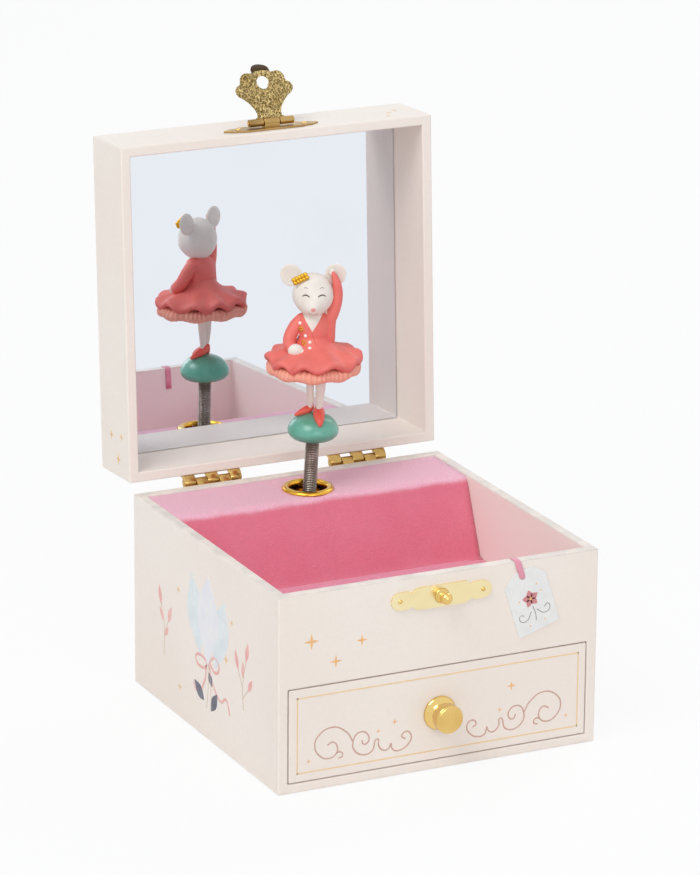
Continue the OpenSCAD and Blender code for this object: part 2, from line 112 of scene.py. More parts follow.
class Finish:
    """A material being put together round one Principled shader."""

    def __init__(self, name, color, roughness=0.5, metallic=0.0, **fixed):
        self.material = bpy.data.materials.new(name)
        self.material.use_nodes = True
        self.tree = self.material.node_tree
        self.shader = self.tree.nodes["Principled BSDF"]
        self.color = color
        self.put("Base Color", color)
        self.put("Roughness", roughness)
        self.put("Metallic", metallic)
        for socket, value in fixed.items():
            self.put(socket.replace("_", " "), value)

    def put(self, socket, value):
        target = self.shader.inputs[socket]
        if isinstance(value, Wire):
            self.tree.links.new(value.socket, target)
        else:
            target.default_value = value

    def add(self, kind, settings, inputs, output=0):
        node = self.tree.nodes.new("ShaderNode" + kind)
        for key, value in settings.items():
            setattr(node, key, value)
        for key, value in inputs.items():
            if isinstance(value, Wire):
                self.tree.links.new(value.socket, node.inputs[key])
            else:
                node.inputs[key].default_value = value
        return Wire(self, node.outputs[output])

    def place(self):
        return self.add("TexCoord", {}, {}, "Object")

    def axes(self):
        parts = self.add("SeparateXYZ", {}, {"Vector": self.place()})
        node = parts.socket.node
        return [Wire(self, node.outputs[i]) * 1000 for i in range(3)]

    def noise(self, scale, detail=3, stretch=(1, 1, 1), rough=0.5):
        where = self.add("Mapping", {}, {"Vector": self.place(), "Scale": stretch})
        inputs = {"Vector": where, "Scale": scale, "Detail": detail, "Roughness": rough}
        return self.add("TexNoise", {}, inputs)

    def blend(self, factor, low, high):
        return self.add("Mix", {"data_type": "RGBA"}, {0: factor, 6: low, 7: high}, 2)

    def bump(self, height, strength, distance):
        inputs = {"Height": height, "Strength": strength, "Distance": distance}
        self.put("Normal", self.add("Bump", {}, inputs))
        return self.material


def ink(red, green, blue):
    """A colour written as the eye reads it, 0 to 255, turned to light values."""
    def light(part):
        part = part / 255
        return part / 12.92 if part < 0.04045 else ((part + 0.055) / 1.055) ** 2.4
    return (light(red), light(green), light(blue), 1)


table_paint = bpy.data.materials.new("table")
table_paint.use_nodes = True
tree = table_paint.node_tree
tree.nodes.clear()
out = tree.nodes.new("ShaderNodeOutputMaterial")
lit = tree.nodes.new("ShaderNodeBsdfDiffuse")
lit.inputs[0].default_value = (0.86, 0.86, 0.86, 1)
glow = tree.nodes.new("ShaderNodeEmission")
glow.inputs[0].default_value = (1, 1, 1, 1)
both = tree.nodes.new("ShaderNodeMixShader")
ray = tree.nodes.new("ShaderNodeLightPath")
seen = tree.nodes.new("ShaderNodeMath")
seen.operation = "MULTIPLY_ADD"
seen.inputs[1].default_value = 0.88
tree.links.new(ray.outputs["Is Camera Ray"], seen.inputs[0])
tree.links.new(ray.outputs["Is Glossy Ray"], seen.inputs[2])
tree.links.new(seen.outputs[0], both.inputs[0])
tree.links.new(lit.outputs[0], both.inputs[1])
tree.links.new(glow.outputs[0], both.inputs[2])
tree.links.new(both.outputs[0], out.inputs[0])
bm = bmesh.new()
bmesh.ops.create_grid(bm, x_segments=1, y_segments=1, size=6)
bmesh.ops.translate(bm, vec=(0, 0, -0.0003), verts=bm.verts)
mesh = bpy.data.meshes.new("table")
bm.to_mesh(mesh)
mesh.materials.append(table_paint)
table = bpy.data.objects.new("table", mesh)
scene.collection.objects.link(table)

sky = bpy.data.worlds.new("studio")
scene.world = sky
sky.use_nodes = True
tree = sky.node_tree
back = tree.nodes["Background"]
back.inputs[0].default_value = (0.93, 0.96, 1, 1)
ray = tree.nodes.new("ShaderNodeLightPath")
level = tree.nodes.new("ShaderNodeMapRange")
level.inputs[3].default_value = 0.62
level.inputs[4].default_value = 1.08
most = tree.nodes.new("ShaderNodeMath")
most.operation = "MAXIMUM"
tree.links.new(ray.outputs["Is Camera Ray"], most.inputs[0])
tree.links.new(ray.outputs["Is Glossy Ray"], most.inputs[1])
tree.links.new(most.outputs[0], level.inputs[0])
tree.links.new(level.outputs[0], back.inputs[1])


def lamp(name, place, aim, size, watts, tint):
    light = bpy.data.lights.new(name, "AREA")
    light.size = size
    light.energy = watts
    light.color = tint
    item = bpy.data.objects.new(name, light)
    scene.collection.objects.link(item)
    facing = (Vector(aim) - Vector(place)).to_track_quat("-Z", "Y")
    item.matrix_world = Matrix.Translation(place) @ facing.to_matrix().to_4x4()


lamp("key", (-1.0, -0.5, 1.5), (0, 0, 0.08), 0.9, 12, (1, 0.985, 0.96))
lamp("front", (-0.2, -1.9, 0.7), (0, 0, 0.06), 0.9, 6, (1, 0.99, 0.98))
lamp("rim", (1.2, 0.8, 1.1), (0, 0, 0.1), 0.7, 5, (0.97, 0.98, 1))

# ---------------------------------------------------------------------------------------
# Case shell: four fibreboard walls and a bottom board, butt jointed, filled and sprayed
# with cream paint so that no joint shows; inside the tray it is painted paler: painted light.
# The corners are eased by sanding.
# ---------------------------------------------------------------------------------------
HALF = 57.5
INNER = 54.0
CASE_H = 67.1
TRAY = 38.4


def new_box(low, high):
    bm = bmesh.new()
    bmesh.ops.create_cube(bm, size=1)
    size = Vector(high) - Vector(low)
    bmesh.ops.scale(bm, vec=size, verts=bm.verts)
    bmesh.ops.translate(bm, vec=(Vector(low) + Vector(high)) / 2, verts=bm.verts)
    return bm


def settle(name, bm, body, material, soften=0.0, segments=3, smooth=True, fix=None):
    """Turns a shape drawn in millimetres into a piece in metres on its body."""
    if fix is not None:
        bm.transform(fix)
    bm.transform(Matrix.Scale(MM, 4))
    mesh = bpy.data.meshes.new(name)
    bm.to_mesh(mesh)
    bm.free()
    piece = bpy.data.objects.new(name, mesh)
    scene.collection.objects.link(piece)
    mesh.materials.append(material)
    for face in mesh.polygons:
        face.use_smooth = smooth
    if soften:
        edge = piece.modifiers.new("eased", "BEVEL")
        edge.width = soften * MM
        edge.segments = segments
        edge.limit_method = "ANGLE"
        edge.angle_limit = math.radians(32)
        edge.harden_normals = True
    if body:
        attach(piece, body)
    return piece


def carve(bm, *hollows):
    """Cuts hollows out of a closed shape."""
    whole = settle("blank", bm, None, bpy.data.materials[0], smooth=False)
    for hollow in hollows:
        tool = settle("hollow", hollow, None, bpy.data.materials[0], smooth=False)
        cut = whole.modifiers.new("cut", "BOOLEAN")
        cut.operation = "DIFFERENCE"
        cut.solver = "EXACT"
        cut.object = tool
        done = whole.evaluated_get(bpy.context.evaluated_depsgraph_get())
        mesh = bpy.data.meshes.new_from_object(done)
        whole.modifiers.clear()
        whole.data = mesh
        bpy.data.objects.remove(tool)
    bm = bmesh.new()
    bm.from_mesh(whole.data)
    bpy.data.objects.remove(whole)
    bmesh.ops.scale(bm, vec=(1000, 1000, 1000), verts=bm.verts)
    return bm


def rod(radius, low, high, axis="Z", at=(0, 0), segments=48):
    """A round bar between two heights along an axis."""
    bm = bmesh.new()
    bmesh.ops.create_cone(bm, cap_ends=True, segments=segments, radius1=radius,
                          radius2=radius, depth=high - low)
    bmesh.ops.translate(bm, vec=(0, 0, (low + high) / 2), verts=bm.verts)
    if axis == "Y":
        bm.transform(Matrix.Rotation(math.radians(-90), 4, "X"))
        bmesh.ops.translate(bm, vec=(at[0], 0, at[1]), verts=bm.verts)
    elif axis == "X":
        bm.transform(Matrix.Rotation(math.radians(90), 4, "Y"))
        bmesh.ops.translate(bm, vec=(0, at[0], at[1]), verts=bm.verts)
    else:
        bmesh.ops.translate(bm, vec=(at[0], at[1], 0), verts=bm.verts)
    return bm


cream = Finish("cream_paint", ink(244, 233, 223), 0.42, Specular_IOR_Level=0.35)
x, y, z = cream.axes()
cloud = cream.noise(14, 2).ramp(0.3, 0.7)
fleck = cream.noise(900, 2).ramp(0.35, 0.75)
tone = cream.blend(cloud, ink(246, 236, 227), ink(243, 231, 221))
tone = cream.blend((20 - z).ramp(0, 60) * 0.5, tone, ink(248, 232, 222))
tone = cream.blend(fleck * 0.12, tone, ink(228, 218, 209))
# The same cream inside the tray is painted paler and less pink, as painted light.
tray_inside_painted_light = (INNER + 0.15 - abs(x)).ramp(0, 0.1) * (INNER + 0.15 - abs(y)).ramp(0, 0.1)
tray_inside_painted_light = tray_inside_painted_light * (z - TRAY - 0.1).ramp(0, 0.1) * (CASE_H - 0.35 - z).ramp(0, 0.1)
tone = cream.blend(tray_inside_painted_light, tone, cream.blend(cloud, ink(250, 247, 238), ink(246, 242, 232)))
# The top rim of the walls is painted a patchy grey, as painted shade along the edge.
rim_shade = (z - CASE_H + 0.7).ramp(0, 0.6) * cream.noise(140, 4).ramp(0.32, 0.6)
tone = cream.blend(rim_shade * 0.55, tone, ink(213, 208, 200))
scuff = (1.6 - z).ramp(0, 1.4) * cream.noise(160, 3).ramp(0.45, 0.7)
tone = cream.blend(scuff * 0.3, tone, ink(214, 200, 188))
cream.put("Base Color", tone)
cream.put("Roughness", 0.4 + 0.14 * fleck)
cream_paint = cream.bump(cream.noise(420, 3) + fleck * 0.4, 0.12, 0.0002)

shell = carve(new_box((-HALF, -HALF, 0), (HALF, HALF, CASE_H)),
              new_box((-INNER, -INNER, TRAY - 3), (INNER, INNER, 90)),
              new_box((-INNER, -80, 3.2), (INNER, INNER, TRAY - 3)),
              rod(3.5, 50, 62, "Y", (-14.9, 50.5)),
              rod(1.25, -62, -52, "Y", (0, 59.7)))
case_shell = settle("case_shell", shell, "case", cream_paint, 0.55)
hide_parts("left_wall", "right_wall", "back_wall", "front_panel",
            "bottom_board")

# ---------------------------------------------------------------------------------------
# Bare boards: the tray board and the drawer's sides, back and bottom are thin
# fibreboard left unpainted, with a fine felted fibre and darker sawn edges.
# ---------------------------------------------------------------------------------------
fibre = Finish("bare_fibreboard", ink(206, 178, 142), 0.78)
fine = fibre.noise(700, 4, (1, 0.35, 1)).ramp(0.3, 0.7)
patch = fibre.noise(40, 3).ramp(0.3, 0.7)
tone = fibre.blend(fine, ink(214, 188, 152), ink(188, 158, 122))
fibre.put("Base Color", fibre.blend(patch * 0.4, tone, ink(198, 170, 136)))
fibre.put("Roughness", 0.7 + 0.15 * fine)
bare_board = fibre.bump(fine, 0.25, 0.0002)


def repaint(material, *nodes):
    for node in nodes:
        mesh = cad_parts[node].data
        mesh.materials.clear()
        mesh.materials.append(material)


repaint(bare_board, "tray_board", "drawer_left", "drawer_right", "drawer_back",
        "drawer_bottom")

# ---------------------------------------------------------------------------------------
# Lid shell: four walls and a top panel, painted as the case, standing open on its
# hinges. The inside of the walls has a slightly warmer lining.
# ---------------------------------------------------------------------------------------
LID_LOW = 67.6
LID_TOP = 91.6
HINGE_Y = 60.0
HINGE_Z = 67.35
OPEN = 92.86
pin = Matrix.Translation((0, HINGE_Y, HINGE_Z))
opened = pin @ Matrix.Rotation(math.radians(-OPEN), 4, "X") @ pin.inverted()

lidding = Finish("lid_paint", ink(244, 233, 223), 0.42, Specular_IOR_Level=0.35)
x, y, z = lidding.axes()
cloud = lidding.noise(14, 2).ramp(0.3, 0.7)
fleck = lidding.noise(900, 2).ramp(0.35, 0.75)
tone = lidding.blend(cloud, ink(246, 237, 228), ink(242, 231, 221))
tone = lidding.blend(fleck * 0.12, tone, ink(228, 218, 209))
lined = (INNER + 0.15 - abs(x)).ramp(0, 0.1) * (z - 73.2).ramp(0, 0.1)
lined = lined * (181.6 - z).ramp(0, 0.1) * lidding.noise(30, 2, (1, 1, 0.4)).ramp(0.1, 0.6)
tone = lidding.blend(lined * 0.3, tone, ink(236, 224, 212))
lidding.put("Base Color", tone)
lidding.put("Roughness", 0.4 + 0.14 * fleck)
lid_paint = lidding.bump(lidding.noise(420, 3) + fleck * 0.4, 0.12, 0.0002)

shell = carve(new_box((-HALF, -HALF, LID_LOW), (HALF, HALF, LID_TOP)),
              new_box((-INNER, -INNER, 60), (INNER, INNER, LID_TOP - 1.2)))
lid_shell = settle("lid_shell", shell, "lid", lid_paint, 0.55, fix=opened)
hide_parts("lid_left", "lid_right", "lid_front", "lid_back", "lid_top")

# ---------------------------------------------------------------------------------------
# Mirror: a thin silvered glass that fills the lid, its face with the slightest film
# of polish. It is cheap sheet, so it is a touch out of true and bends what it shows.
# ---------------------------------------------------------------------------------------
glass = Finish("mirror_silver", ink(230, 234, 242), 0.015, 1.0)
film = glass.noise(30, 3).ramp(0.35, 0.75)
glass.put("Base Color", glass.blend(film * 0.3, ink(232, 236, 243), ink(222, 228, 238)))
glass.put("Roughness", 0.012 + 0.02 * film)
x, y, z = glass.axes()
warp = (z - 130) * 0.011 - x * 0.004 + glass.noise(9, 1) * 0.05
silver = glass.bump(warp * MM, 1.0, 1.0)
plate = new_box((-INNER + 0.15, -INNER + 0.15, LID_TOP - 2), (INNER - 0.15, INNER - 0.15, LID_TOP - 1.2))
mirror = settle("mirror_plate", plate, "lid", silver, 0.25, 2, fix=opened)
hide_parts("mirror")

# ---------------------------------------------------------------------------------------
# Felt ledge: one board bent over the movement and covered in pink felt, so its front
# edge is soft; its flat top is painted paler than the front, as painted light from above.
# ---------------------------------------------------------------------------------------


def felt(name, top, side, painted_light_from):
    work = Finish(name, side, 0.95, Sheen_Weight=0.35, Sheen_Roughness=0.5,
                  Sheen_Tint=(1, 0.86, 0.9, 1), Specular_IOR_Level=0.1)
    x, y, z = work.axes()
    pile = work.noise(1500, 3).ramp(0.25, 0.75)
    nap = work.noise(70, 4).ramp(0.3, 0.75)
    # Faces above the given height take the paler top colour: painted light from above.
    flat = (z - painted_light_from + nap * 0.8).ramp(0, 1.8)
    tone = work.blend(flat, side, top)
    darker = [part * 0.86 for part in side[:3]] + [1]
    tone = work.blend(pile * 0.3, tone, work.blend(flat, darker, side))
    work.put("Base Color", work.blend(nap * 0.07, tone, top))
    return work.bump(pile + nap * 0.5, 0.5, 0.0003)


def profile_sheet(points, low, high, steps):
    """Sweeps an open outline in Y and Z along X."""
    bm = bmesh.new()
    ring = [bm.verts.new((low, p[0], p[1])) for p in points]
    edges = [bm.edges.new(pair) for pair in zip(ring, ring[1:])]
    for _ in range(steps):
        made = bmesh.ops.extrude_edge_only(bm, edges=edges)["geom"]
        moved = [item for item in made if isinstance(item, bmesh.types.BMVert)]
        edges = [item for item in made if isinstance(item, bmesh.types.BMEdge)
                 and item.verts[0] in moved and item.verts[1] in moved]
        bmesh.ops.translate(bm, vec=((high - low) / steps, 0, 0), verts=moved)
    return bm


LEDGE = 66.6
RING_AT = (-1.2, 39.4)
# The paler pink given for the ledge top is painted light from above; top and front are one felt.
ledge_felt = felt("ledge_felt", ink(248, 198, 216), ink(232, 124, 146), LEDGE - 1.9)
outline = [(53.95, LEDGE - 3), (53.95, LEDGE - 0.3), (53.6, LEDGE), (52.6, LEDGE + 0.1)]
outline += [(50 - i * 2.1, LEDGE + 0.1) for i in range(9)]
outline += [(31.2, 66.6), (30.2, 66.25), (29.3, 65.6), (28.6, 64.6), (28.0, 63.3)]
outline += [(28.0 - i * 0.98, 63.3 - i * 2.3) for i in range(1, 10)]
outline += [(18.5, 41.6), (18.0, 41.1), (17.2, 40.9), (16.3, 40.85)]
sheet = profile_sheet(outline, -INNER + 0.1, INNER - 0.1, 54)
for v in sheet.verts:
    side = min(1, (INNER - abs(v.co.x)) / 3)
    wave = math.sin(v.co.x * 0.21 + 1) * 0.18 + math.sin(v.co.x * 0.47) * 0.1
    if 18.6 < v.co.y < 33:
        v.co.y += wave * side - (1 - side) * 0.35
        v.co.z += (wave * 0.5 - (1 - side) ** 2 * 0.8) * side if v.co.z > 60 else 0
hole = [f for f in sheet.faces
        if (f.calc_center_median().xy - Vector(RING_AT)).length < 7.3 and f.normal.z ** 2 > 0.5]
bmesh.ops.delete(sheet, geom=hole, context="FACES")
bmesh.ops.recalc_face_normals(sheet, faces=sheet.faces)
if sum(f.normal.z for f in sheet.faces) < 0:
    bmesh.ops.reverse_faces(sheet, faces=sheet.faces)
ledge = settle("felt_ledge", sheet, "case", ledge_felt)
thick = ledge.modifiers.new("cloth", "SOLIDIFY")
thick.thickness = 1.1 * MM
thick.offset = -1
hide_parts("movement_cover")

# The pad's top is painted in the paler pink, as painted light from above; its sides keep the deeper pink.
floor_felt = felt("floor_felt", ink(240, 158, 182), ink(232, 128, 158), 39.5)
pad = new_box((-INNER + 0.1, -INNER + 0.1, TRAY), (INNER - 0.1, 17.4, 40.6))
bmesh.ops.subdivide_edges(pad, edges=pad.edges, cuts=18, use_grid_fill=True)
for v in pad.verts:
    if v.co.z > 40:
        rim = min(INNER - abs(v.co.x), v.co.y + INNER)
        v.co.z += 0.35 * min(1, rim / 6) + 0.06 * math.sin(v.co.x * 0.3) * math.cos(v.co.y * 0.23)
tray_pad = settle("tray_pad", pad, "case", floor_felt, 0.5, 2)
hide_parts("tray_felt")
liner = new_box((-INNER + 3.2, -INNER + 0.1, 5.5), (INNER - 3.2, -INNER + 93.4, 6.4))
drawer_liner = settle("drawer_liner", liner, "drawer", floor_felt, 0.3, 2)
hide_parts("drawer_felt")

# ---------------------------------------------------------------------------------------
# Drawer front: an inset painted panel with eased edges, framed by one thin gold line
# and printed with rose brown scrolls and gold stars.
# ---------------------------------------------------------------------------------------
panel = carve(new_box((-53.7, -HALF, 3.5), (53.7, -INNER, 35.1)),
              rod(1.5, -60, -50, "Y", (0, 19.4)))
drawer_front = settle("drawer_panel", panel, "drawer", cream_paint, 0.45)
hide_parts("drawer_front")


def print_finish(name, color, shimmer=0.0, rough=0.45):
    """Printing ink: nearly flat, a little uneven where it has not covered."""
    work = Finish(name, color, rough, shimmer)
    speck = work.noise(1400, 3).ramp(0.3, 0.7)
    pale = [part + (0.85 - part) * 0.35 for part in color[:3]] + [1]
    work.put("Base Color", work.blend(speck * 0.5, color, pale))
    work.put("Roughness", rough + 0.15 * speck)
    return work.bump(speck, 0.1, 0.00005)


gold_ink = print_finish("gold_ink", ink(236, 184, 96))
pale_gold_ink = print_finish("pale_gold_ink", ink(240, 205, 150))
orange_ink = print_finish("orange_ink", ink(242, 180, 100))
rose_ink = print_finish("rose_ink", ink(206, 158, 142))

front_face = Matrix(((1, 0, 0, 0), (0, 0, -1, -HALF), (0, 1, 0, 0), (0, 0, 0, 1)))
left_face = Matrix(((0, 0, -1, -HALF), (-1, 0, 0, 0), (0, 1, 0, 0), (0, 0, 0, 1)))


def smooth_path(points, closed=False):
    """A soft line through the given points."""
    line = bpy.data.curves.new("line", "CURVE")
    line.dimensions = "3D"
    line.resolution_u = 8
    spline = line.splines.new("BEZIER")
    spline.bezier_points.add(len(points) - 1)
    for knot, point in zip(spline.bezier_points, points):
        knot.co = (point[0], point[1], 0)
        knot.handle_left_type = "AUTO"
        knot.handle_right_type = "AUTO"
    spline.use_cyclic_u = closed
    return line


def stroke(name, paths, width, face, body, material, height=0.06, taper=None):
    """Lays printed lines on a face as thin flat ribbons of ink."""
    total = bmesh.new()
    for points in paths:
        line = smooth_path(points)
        line.bevel_depth = width / 2
        line.bevel_resolution = 1
        line.use_fill_caps = True
        holder = bpy.data.objects.new("line", line)
        scene.collection.objects.link(holder)
        if taper:
            for knot, radius in zip(line.splines[0].bezier_points, taper):
                knot.radius = radius
        done = holder.evaluated_get(bpy.context.evaluated_depsgraph_get())
        total.from_mesh(bpy.data.meshes.new_from_object(done))
        bpy.data.objects.remove(holder)
    bmesh.ops.scale(total, vec=(1, 1, height * 2 / width), verts=total.verts)
    return settle(name, total, body, material, fix=face)


def star(bm, x, y, reach, waist=0.2, lift=0.05):
    """One four pointed printed star."""
    made = bmesh.ops.create_circle(bm, cap_ends=True, segments=16, radius=reach)["verts"]
    for i, v in enumerate(made):
        away = (1, 0.4, waist, 0.4)[i % 4]
        v.co = v.co * away
    body = bmesh.ops.extrude_face_region(bm, geom=list({f for v in made for f in v.link_faces}))
    top = [v for v in body["geom"] if isinstance(v, bmesh.types.BMVert)]
    bmesh.ops.translate(bm, vec=(0, 0, lift), verts=top)
    bmesh.ops.translate(bm, vec=(x, y, 0), verts=made + top)


def stars(name, spots, face, body, material):
    bm = bmesh.new()
    for spot in spots:
        star(bm, *spot)
    bmesh.ops.recalc_face_normals(bm, faces=bm.faces)
    return settle(name, bm, body, material, fix=face, smooth=False)


def dots(name, spots, face, body, material):
    bm = bmesh.new()
    for px, py, radius in spots:
        bmesh.ops.create_cone(bm, cap_ends=True, segments=14, radius1=radius, radius2=radius * 0.7,
                              depth=0.1, matrix=Matrix.Translation((px, py, 0.02)))
    return settle(name, bm, body, material, fix=face, smooth=False)


frame_line = bmesh.new()
for low, high in (((-51, 6.3), (-50.55, 32.3)), ((50.55, 6.3), (51, 32.3)),
                  ((-51, 6.3), (51, 6.75)), ((-51, 31.85), (51, 32.3))):
    bar = bmesh.ops.create_cube(frame_line, size=1)["verts"]
    size = (high[0] - low[0], high[1] - low[1], 0.08)
    bmesh.ops.scale(frame_line, vec=size, verts=bar)
    middle = ((high[0] + low[0]) / 2, (high[1] + low[1]) / 2, 0)
    bmesh.ops.translate(frame_line, vec=middle, verts=bar)
settle("drawer_line", frame_line, "drawer", pale_gold_ink, fix=front_face, smooth=False)

outer_scroll = [(-31, 14.4), (-33.3, 18), (-38.5, 20.5), (-43.6, 18), (-44.6, 15), (-43.4, 12),
                (-40, 10), (-37, 11.2), (-36.6, 13.6), (-38.2, 15.4), (-40.1, 14.6)]
scroll_tail = [(-36.9, 11.4), (-35.4, 11.6), (-34.7, 10.2), (-36.2, 9.5)]
middle_scroll = [(-31, 14.4), (-31, 12.2), (-27.7, 9.3), (-24.2, 10), (-22.2, 13.8), (-21.8, 11.4),
                 (-20, 9.6), (-18.3, 9.9), (-17.4, 11.6)]
inner_scroll = [(-31, 14.4), (-29.9, 16.6), (-27.5, 17.2), (-25.5, 15.6), (-25.6, 13.4),
                (-27.2, 12.9), (-27.9, 14.4)]
end_scroll = [(-17.4, 11.6), (-16.6, 9.2), (-14, 8.7), (-10.9, 10.6), (-10.1, 13), (-11.8, 14.8),
              (-13.5, 13.4), (-12.2, 12.3)]
left_group = [outer_scroll, scroll_tail, middle_scroll, inner_scroll, end_scroll]
right_group = [[(-px, py) for px, py in path] for path in left_group]
stroke("drawer_scrolls", left_group + right_group, 0.5, front_face, "drawer", rose_ink)
stars("drawer_stars", [(26.2, 24.4, 1.6), (-16.1, 18.8, 1.15), (-22, 16.5, 0.8), (22.1, 16.8, 0.9),
                       (-46.8, 10.1, 0.9), (46.7, 10.9, 0.8)], front_face, "drawer", orange_ink)
stars("front_stars", [(-45.9, 50.7, 2.7), (-37.3, 42.8, 2.2), (-28.1, 48.6, 2.0)],
      front_face, "case", orange_ink)

# ---------------------------------------------------------------------------------------
# Side print: a loose posy painted in thin colour on the left wall. Pale blue white
# petals, a pink ribbon, slate leaves, pink sprigs and a few gold stars.
# ---------------------------------------------------------------------------------------


def wash(name, color, second, rough=0.5):
    """Watery printed colour that pools and thins."""
    work = Finish(name, color, rough)
    pool = work.noise(160, 4).ramp(0.3, 0.7)
    grain = work.noise(1300, 2).ramp(0.3, 0.7)
    work.put("Base Color", work.blend(pool, color, work.blend(grain * 0.4, second, color)))
    return work.bump(grain, 0.08, 0.00005)


petal_wash = wash("petal_wash", ink(234, 234, 240), ink(242, 240, 240))
petal_shade = wash("petal_shade", ink(222, 230, 234), ink(236, 240, 240))
pink_wash = wash("pink_wash", ink(238, 172, 168), ink(244, 200, 192))
slate_wash = wash("slate_wash", ink(92, 94, 108), ink(130, 128, 140))
stem_wash = wash("stem_wash", ink(206, 178, 150), ink(222, 200, 176))


def petals(name, shapes, face, body, material, lift=0.05):
    """Almond shaped flat leaves: place, length, width, lean in degrees and fullness."""
    bm = bmesh.new()
    for px, py, length, width, lean, full in shapes:
        made = bmesh.ops.create_circle(bm, cap_ends=True, segments=24, radius=0.5)["verts"]
        for v in made:
            along = v.co.y + 0.5
            body_at = math.sin(math.pi * min(1, max(0, along)) ** full)
            v.co.x = v.co.x * width * (0.25 + 0.75 * body_at) * 1.5
            v.co.y = along * length
        up = bmesh.ops.extrude_face_region(bm, geom=list({f for v in made for f in v.link_faces}))
        top = [v for v in up["geom"] if isinstance(v, bmesh.types.BMVert)]
        bmesh.ops.translate(bm, vec=(0, 0, lift), verts=top)
        bmesh.ops.rotate(bm, cent=(0, 0, 0), matrix=Matrix.Rotation(math.radians(-lean), 3, "Z"),
                         verts=made + top)
        bmesh.ops.translate(bm, vec=(px, py, 0), verts=made + top)
    bmesh.ops.recalc_face_normals(bm, faces=bm.faces)
    return settle(name, bm, body, material, fix=face, smooth=False)


petals("posy_petals", [(-3, 28, 27, 9, -14, 1.1), (9, 27, 26, 9, 16, 1.1)], left_face, "case",
       petal_shade, 0.04)
petals("posy_heart", [(3, 26, 31, 11, 1, 1.15)], left_face, "case", petal_wash, 0.07)
petals("posy_leaves", [(0, 13, 9, 3, -58, 0.8), (5.6, 11, 9, 2.8, 34, 0.9),
                       (4, 24, 5, 2, 150, 0.9)], left_face, "case", slate_wash)
stroke("posy_ribbon", [[(2.4, 50), (4.6, 42), (3.2, 34), (3.4, 27.5), (-2, 24), (-6.5, 26), (-3, 28),
                        (3.4, 27.5), (9, 30.5), (12, 28), (8.5, 25.4), (3.4, 27.5), (0.6, 20),
                        (-5.5, 14.5), (-8.5, 16.5)],
                       [(3.4, 27.5), (7, 21), (13.5, 17), (17.5, 19), (20.5, 14.5)]],
       1.0, left_face, "case", pink_wash, 0.05)
stroke("posy_stalks", [[(3.2, 27), (3.4, 19), (2.2, 11)], [(5, 26.5), (5.4, 18), (6.6, 11.5)],
                       [(-32.5, 18), (-32, 27), (-34.5, 36)], [(-32.1, 25), (-29, 31)],
                       [(31, 20), (30.4, 28), (33, 38)], [(30.6, 27), (27, 33)],
                       [(30.5, 24), (34.5, 28)]], 0.35, left_face, "case", stem_wash)
petals("posy_sprigs", [(-34.5, 35, 7, 1.7, -14, 0.9), (-29, 30.5, 7, 1.8, 24, 0.9),
                       (-32.2, 30, 5.5, 1.5, -42, 0.9), (-32, 25, 5, 1.5, 40, 0.9),
                       (33, 37, 7.5, 1.7, 12, 0.9), (27, 32.6, 7, 1.7, -20, 0.9),
                       (34.5, 27.6, 6, 1.6, 34, 0.9), (30.5, 31, 6, 1.6, 2, 0.9)],
       left_face, "case", pink_wash)
stars("side_stars", [(-20.5, 45, 1.3), (17.5, 33, 1.7), (-19.5, 11, 1.5), (22, 47, 1.1)],
      left_face, "case", gold_ink)
lid_left_face = Matrix(((0, 0, -1, -HALF), (-1, 0, 0, 0), (0, 1, 0, 0), (0, 0, 0, 1)))
stars("lid_side_stars", [(-75.8, 82.9, 1.6), (-67.4, 84.2, 1.5), (-70, 75.7, 1.9)],
      lid_left_face, "lid", gold_ink)
stars("lid_front_stars", [(46, 77.3, 1.3), (49.8, 80.2, 1.4), (43.5, 72.4, 1.1)],
      opened @ front_face, "lid", gold_ink)

# ---------------------------------------------------------------------------------------
# Swing tag: heavy grey white paper with clipped, hollowed corners, printed with a small
# flower and two curls, hung from a narrow pink satin ribbon over the front rim.
# ---------------------------------------------------------------------------------------
paper = Finish("tag_paper", ink(238, 237, 235), 0.8)
mould = paper.noise(320, 4).ramp(0.3, 0.7)
edge_dust = paper.noise(90, 3).ramp(0.35, 0.7)
tone = paper.blend(mould, ink(240, 239, 236), ink(234, 233, 230))
paper.put("Base Color", paper.blend(edge_dust * 0.35, tone, ink(226, 227, 227)))
tag_paper = paper.bump(mould, 0.2, 0.0001)

tag_place = front_face @ Matrix.Translation((33.2, 51.4, 0.06)) @ Matrix.Rotation(math.radians(18), 4, "Z")
bm = bmesh.new()
corner = [(7.65, 8.9), (7.3, 9.6), (6.4, 10.4), (4.6, 12.0), (3.4, 12.6), (1.6, 13)]
edge_points = [(-7.65, -9.1), (7.65, -9.1)] + corner + [(-px, py) for px, py in reversed(corner)]
tag_face = bm.faces.new([bm.verts.new((px, py, 0)) for px, py in edge_points])
raised = bmesh.ops.extrude_face_region(bm, geom=[tag_face])["geom"]
bmesh.ops.translate(bm, vec=(0, 0, 0.34), verts=[v for v in raised if isinstance(v, bmesh.types.BMVert)])
bmesh.ops.recalc_face_normals(bm, faces=bm.faces)
tag_sheet = carve(bm, rod(0.9, -2, 2, "Z", (-0.5, 10.6)))
tag = settle("paper_tag", tag_sheet, "case", tag_paper, 0.08, 2, fix=tag_place)
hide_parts("paper_tag")
tag_top = tag_place @ Matrix.Translation((0, 0, 0.34))
grey_ink = print_finish("grey_ink", ink(150, 138, 142))
blush_ink = print_finish("blush_ink", ink(206, 118, 122))
stroke("tag_curls", [[(-1, -2), (-3.5, -4.4), (-5.6, -3.6), (-5.2, -1.8), (-3.8, -2.4)],
                     [(1, -2), (3.5, -4.4), (5.6, -3.6), (5.2, -1.8), (3.8, -2.4)],
                     [(0, -0.4), (0.2, -3.4), (-0.2, -5.6)]], 0.3, tag_top, "case", grey_ink, 0.03)
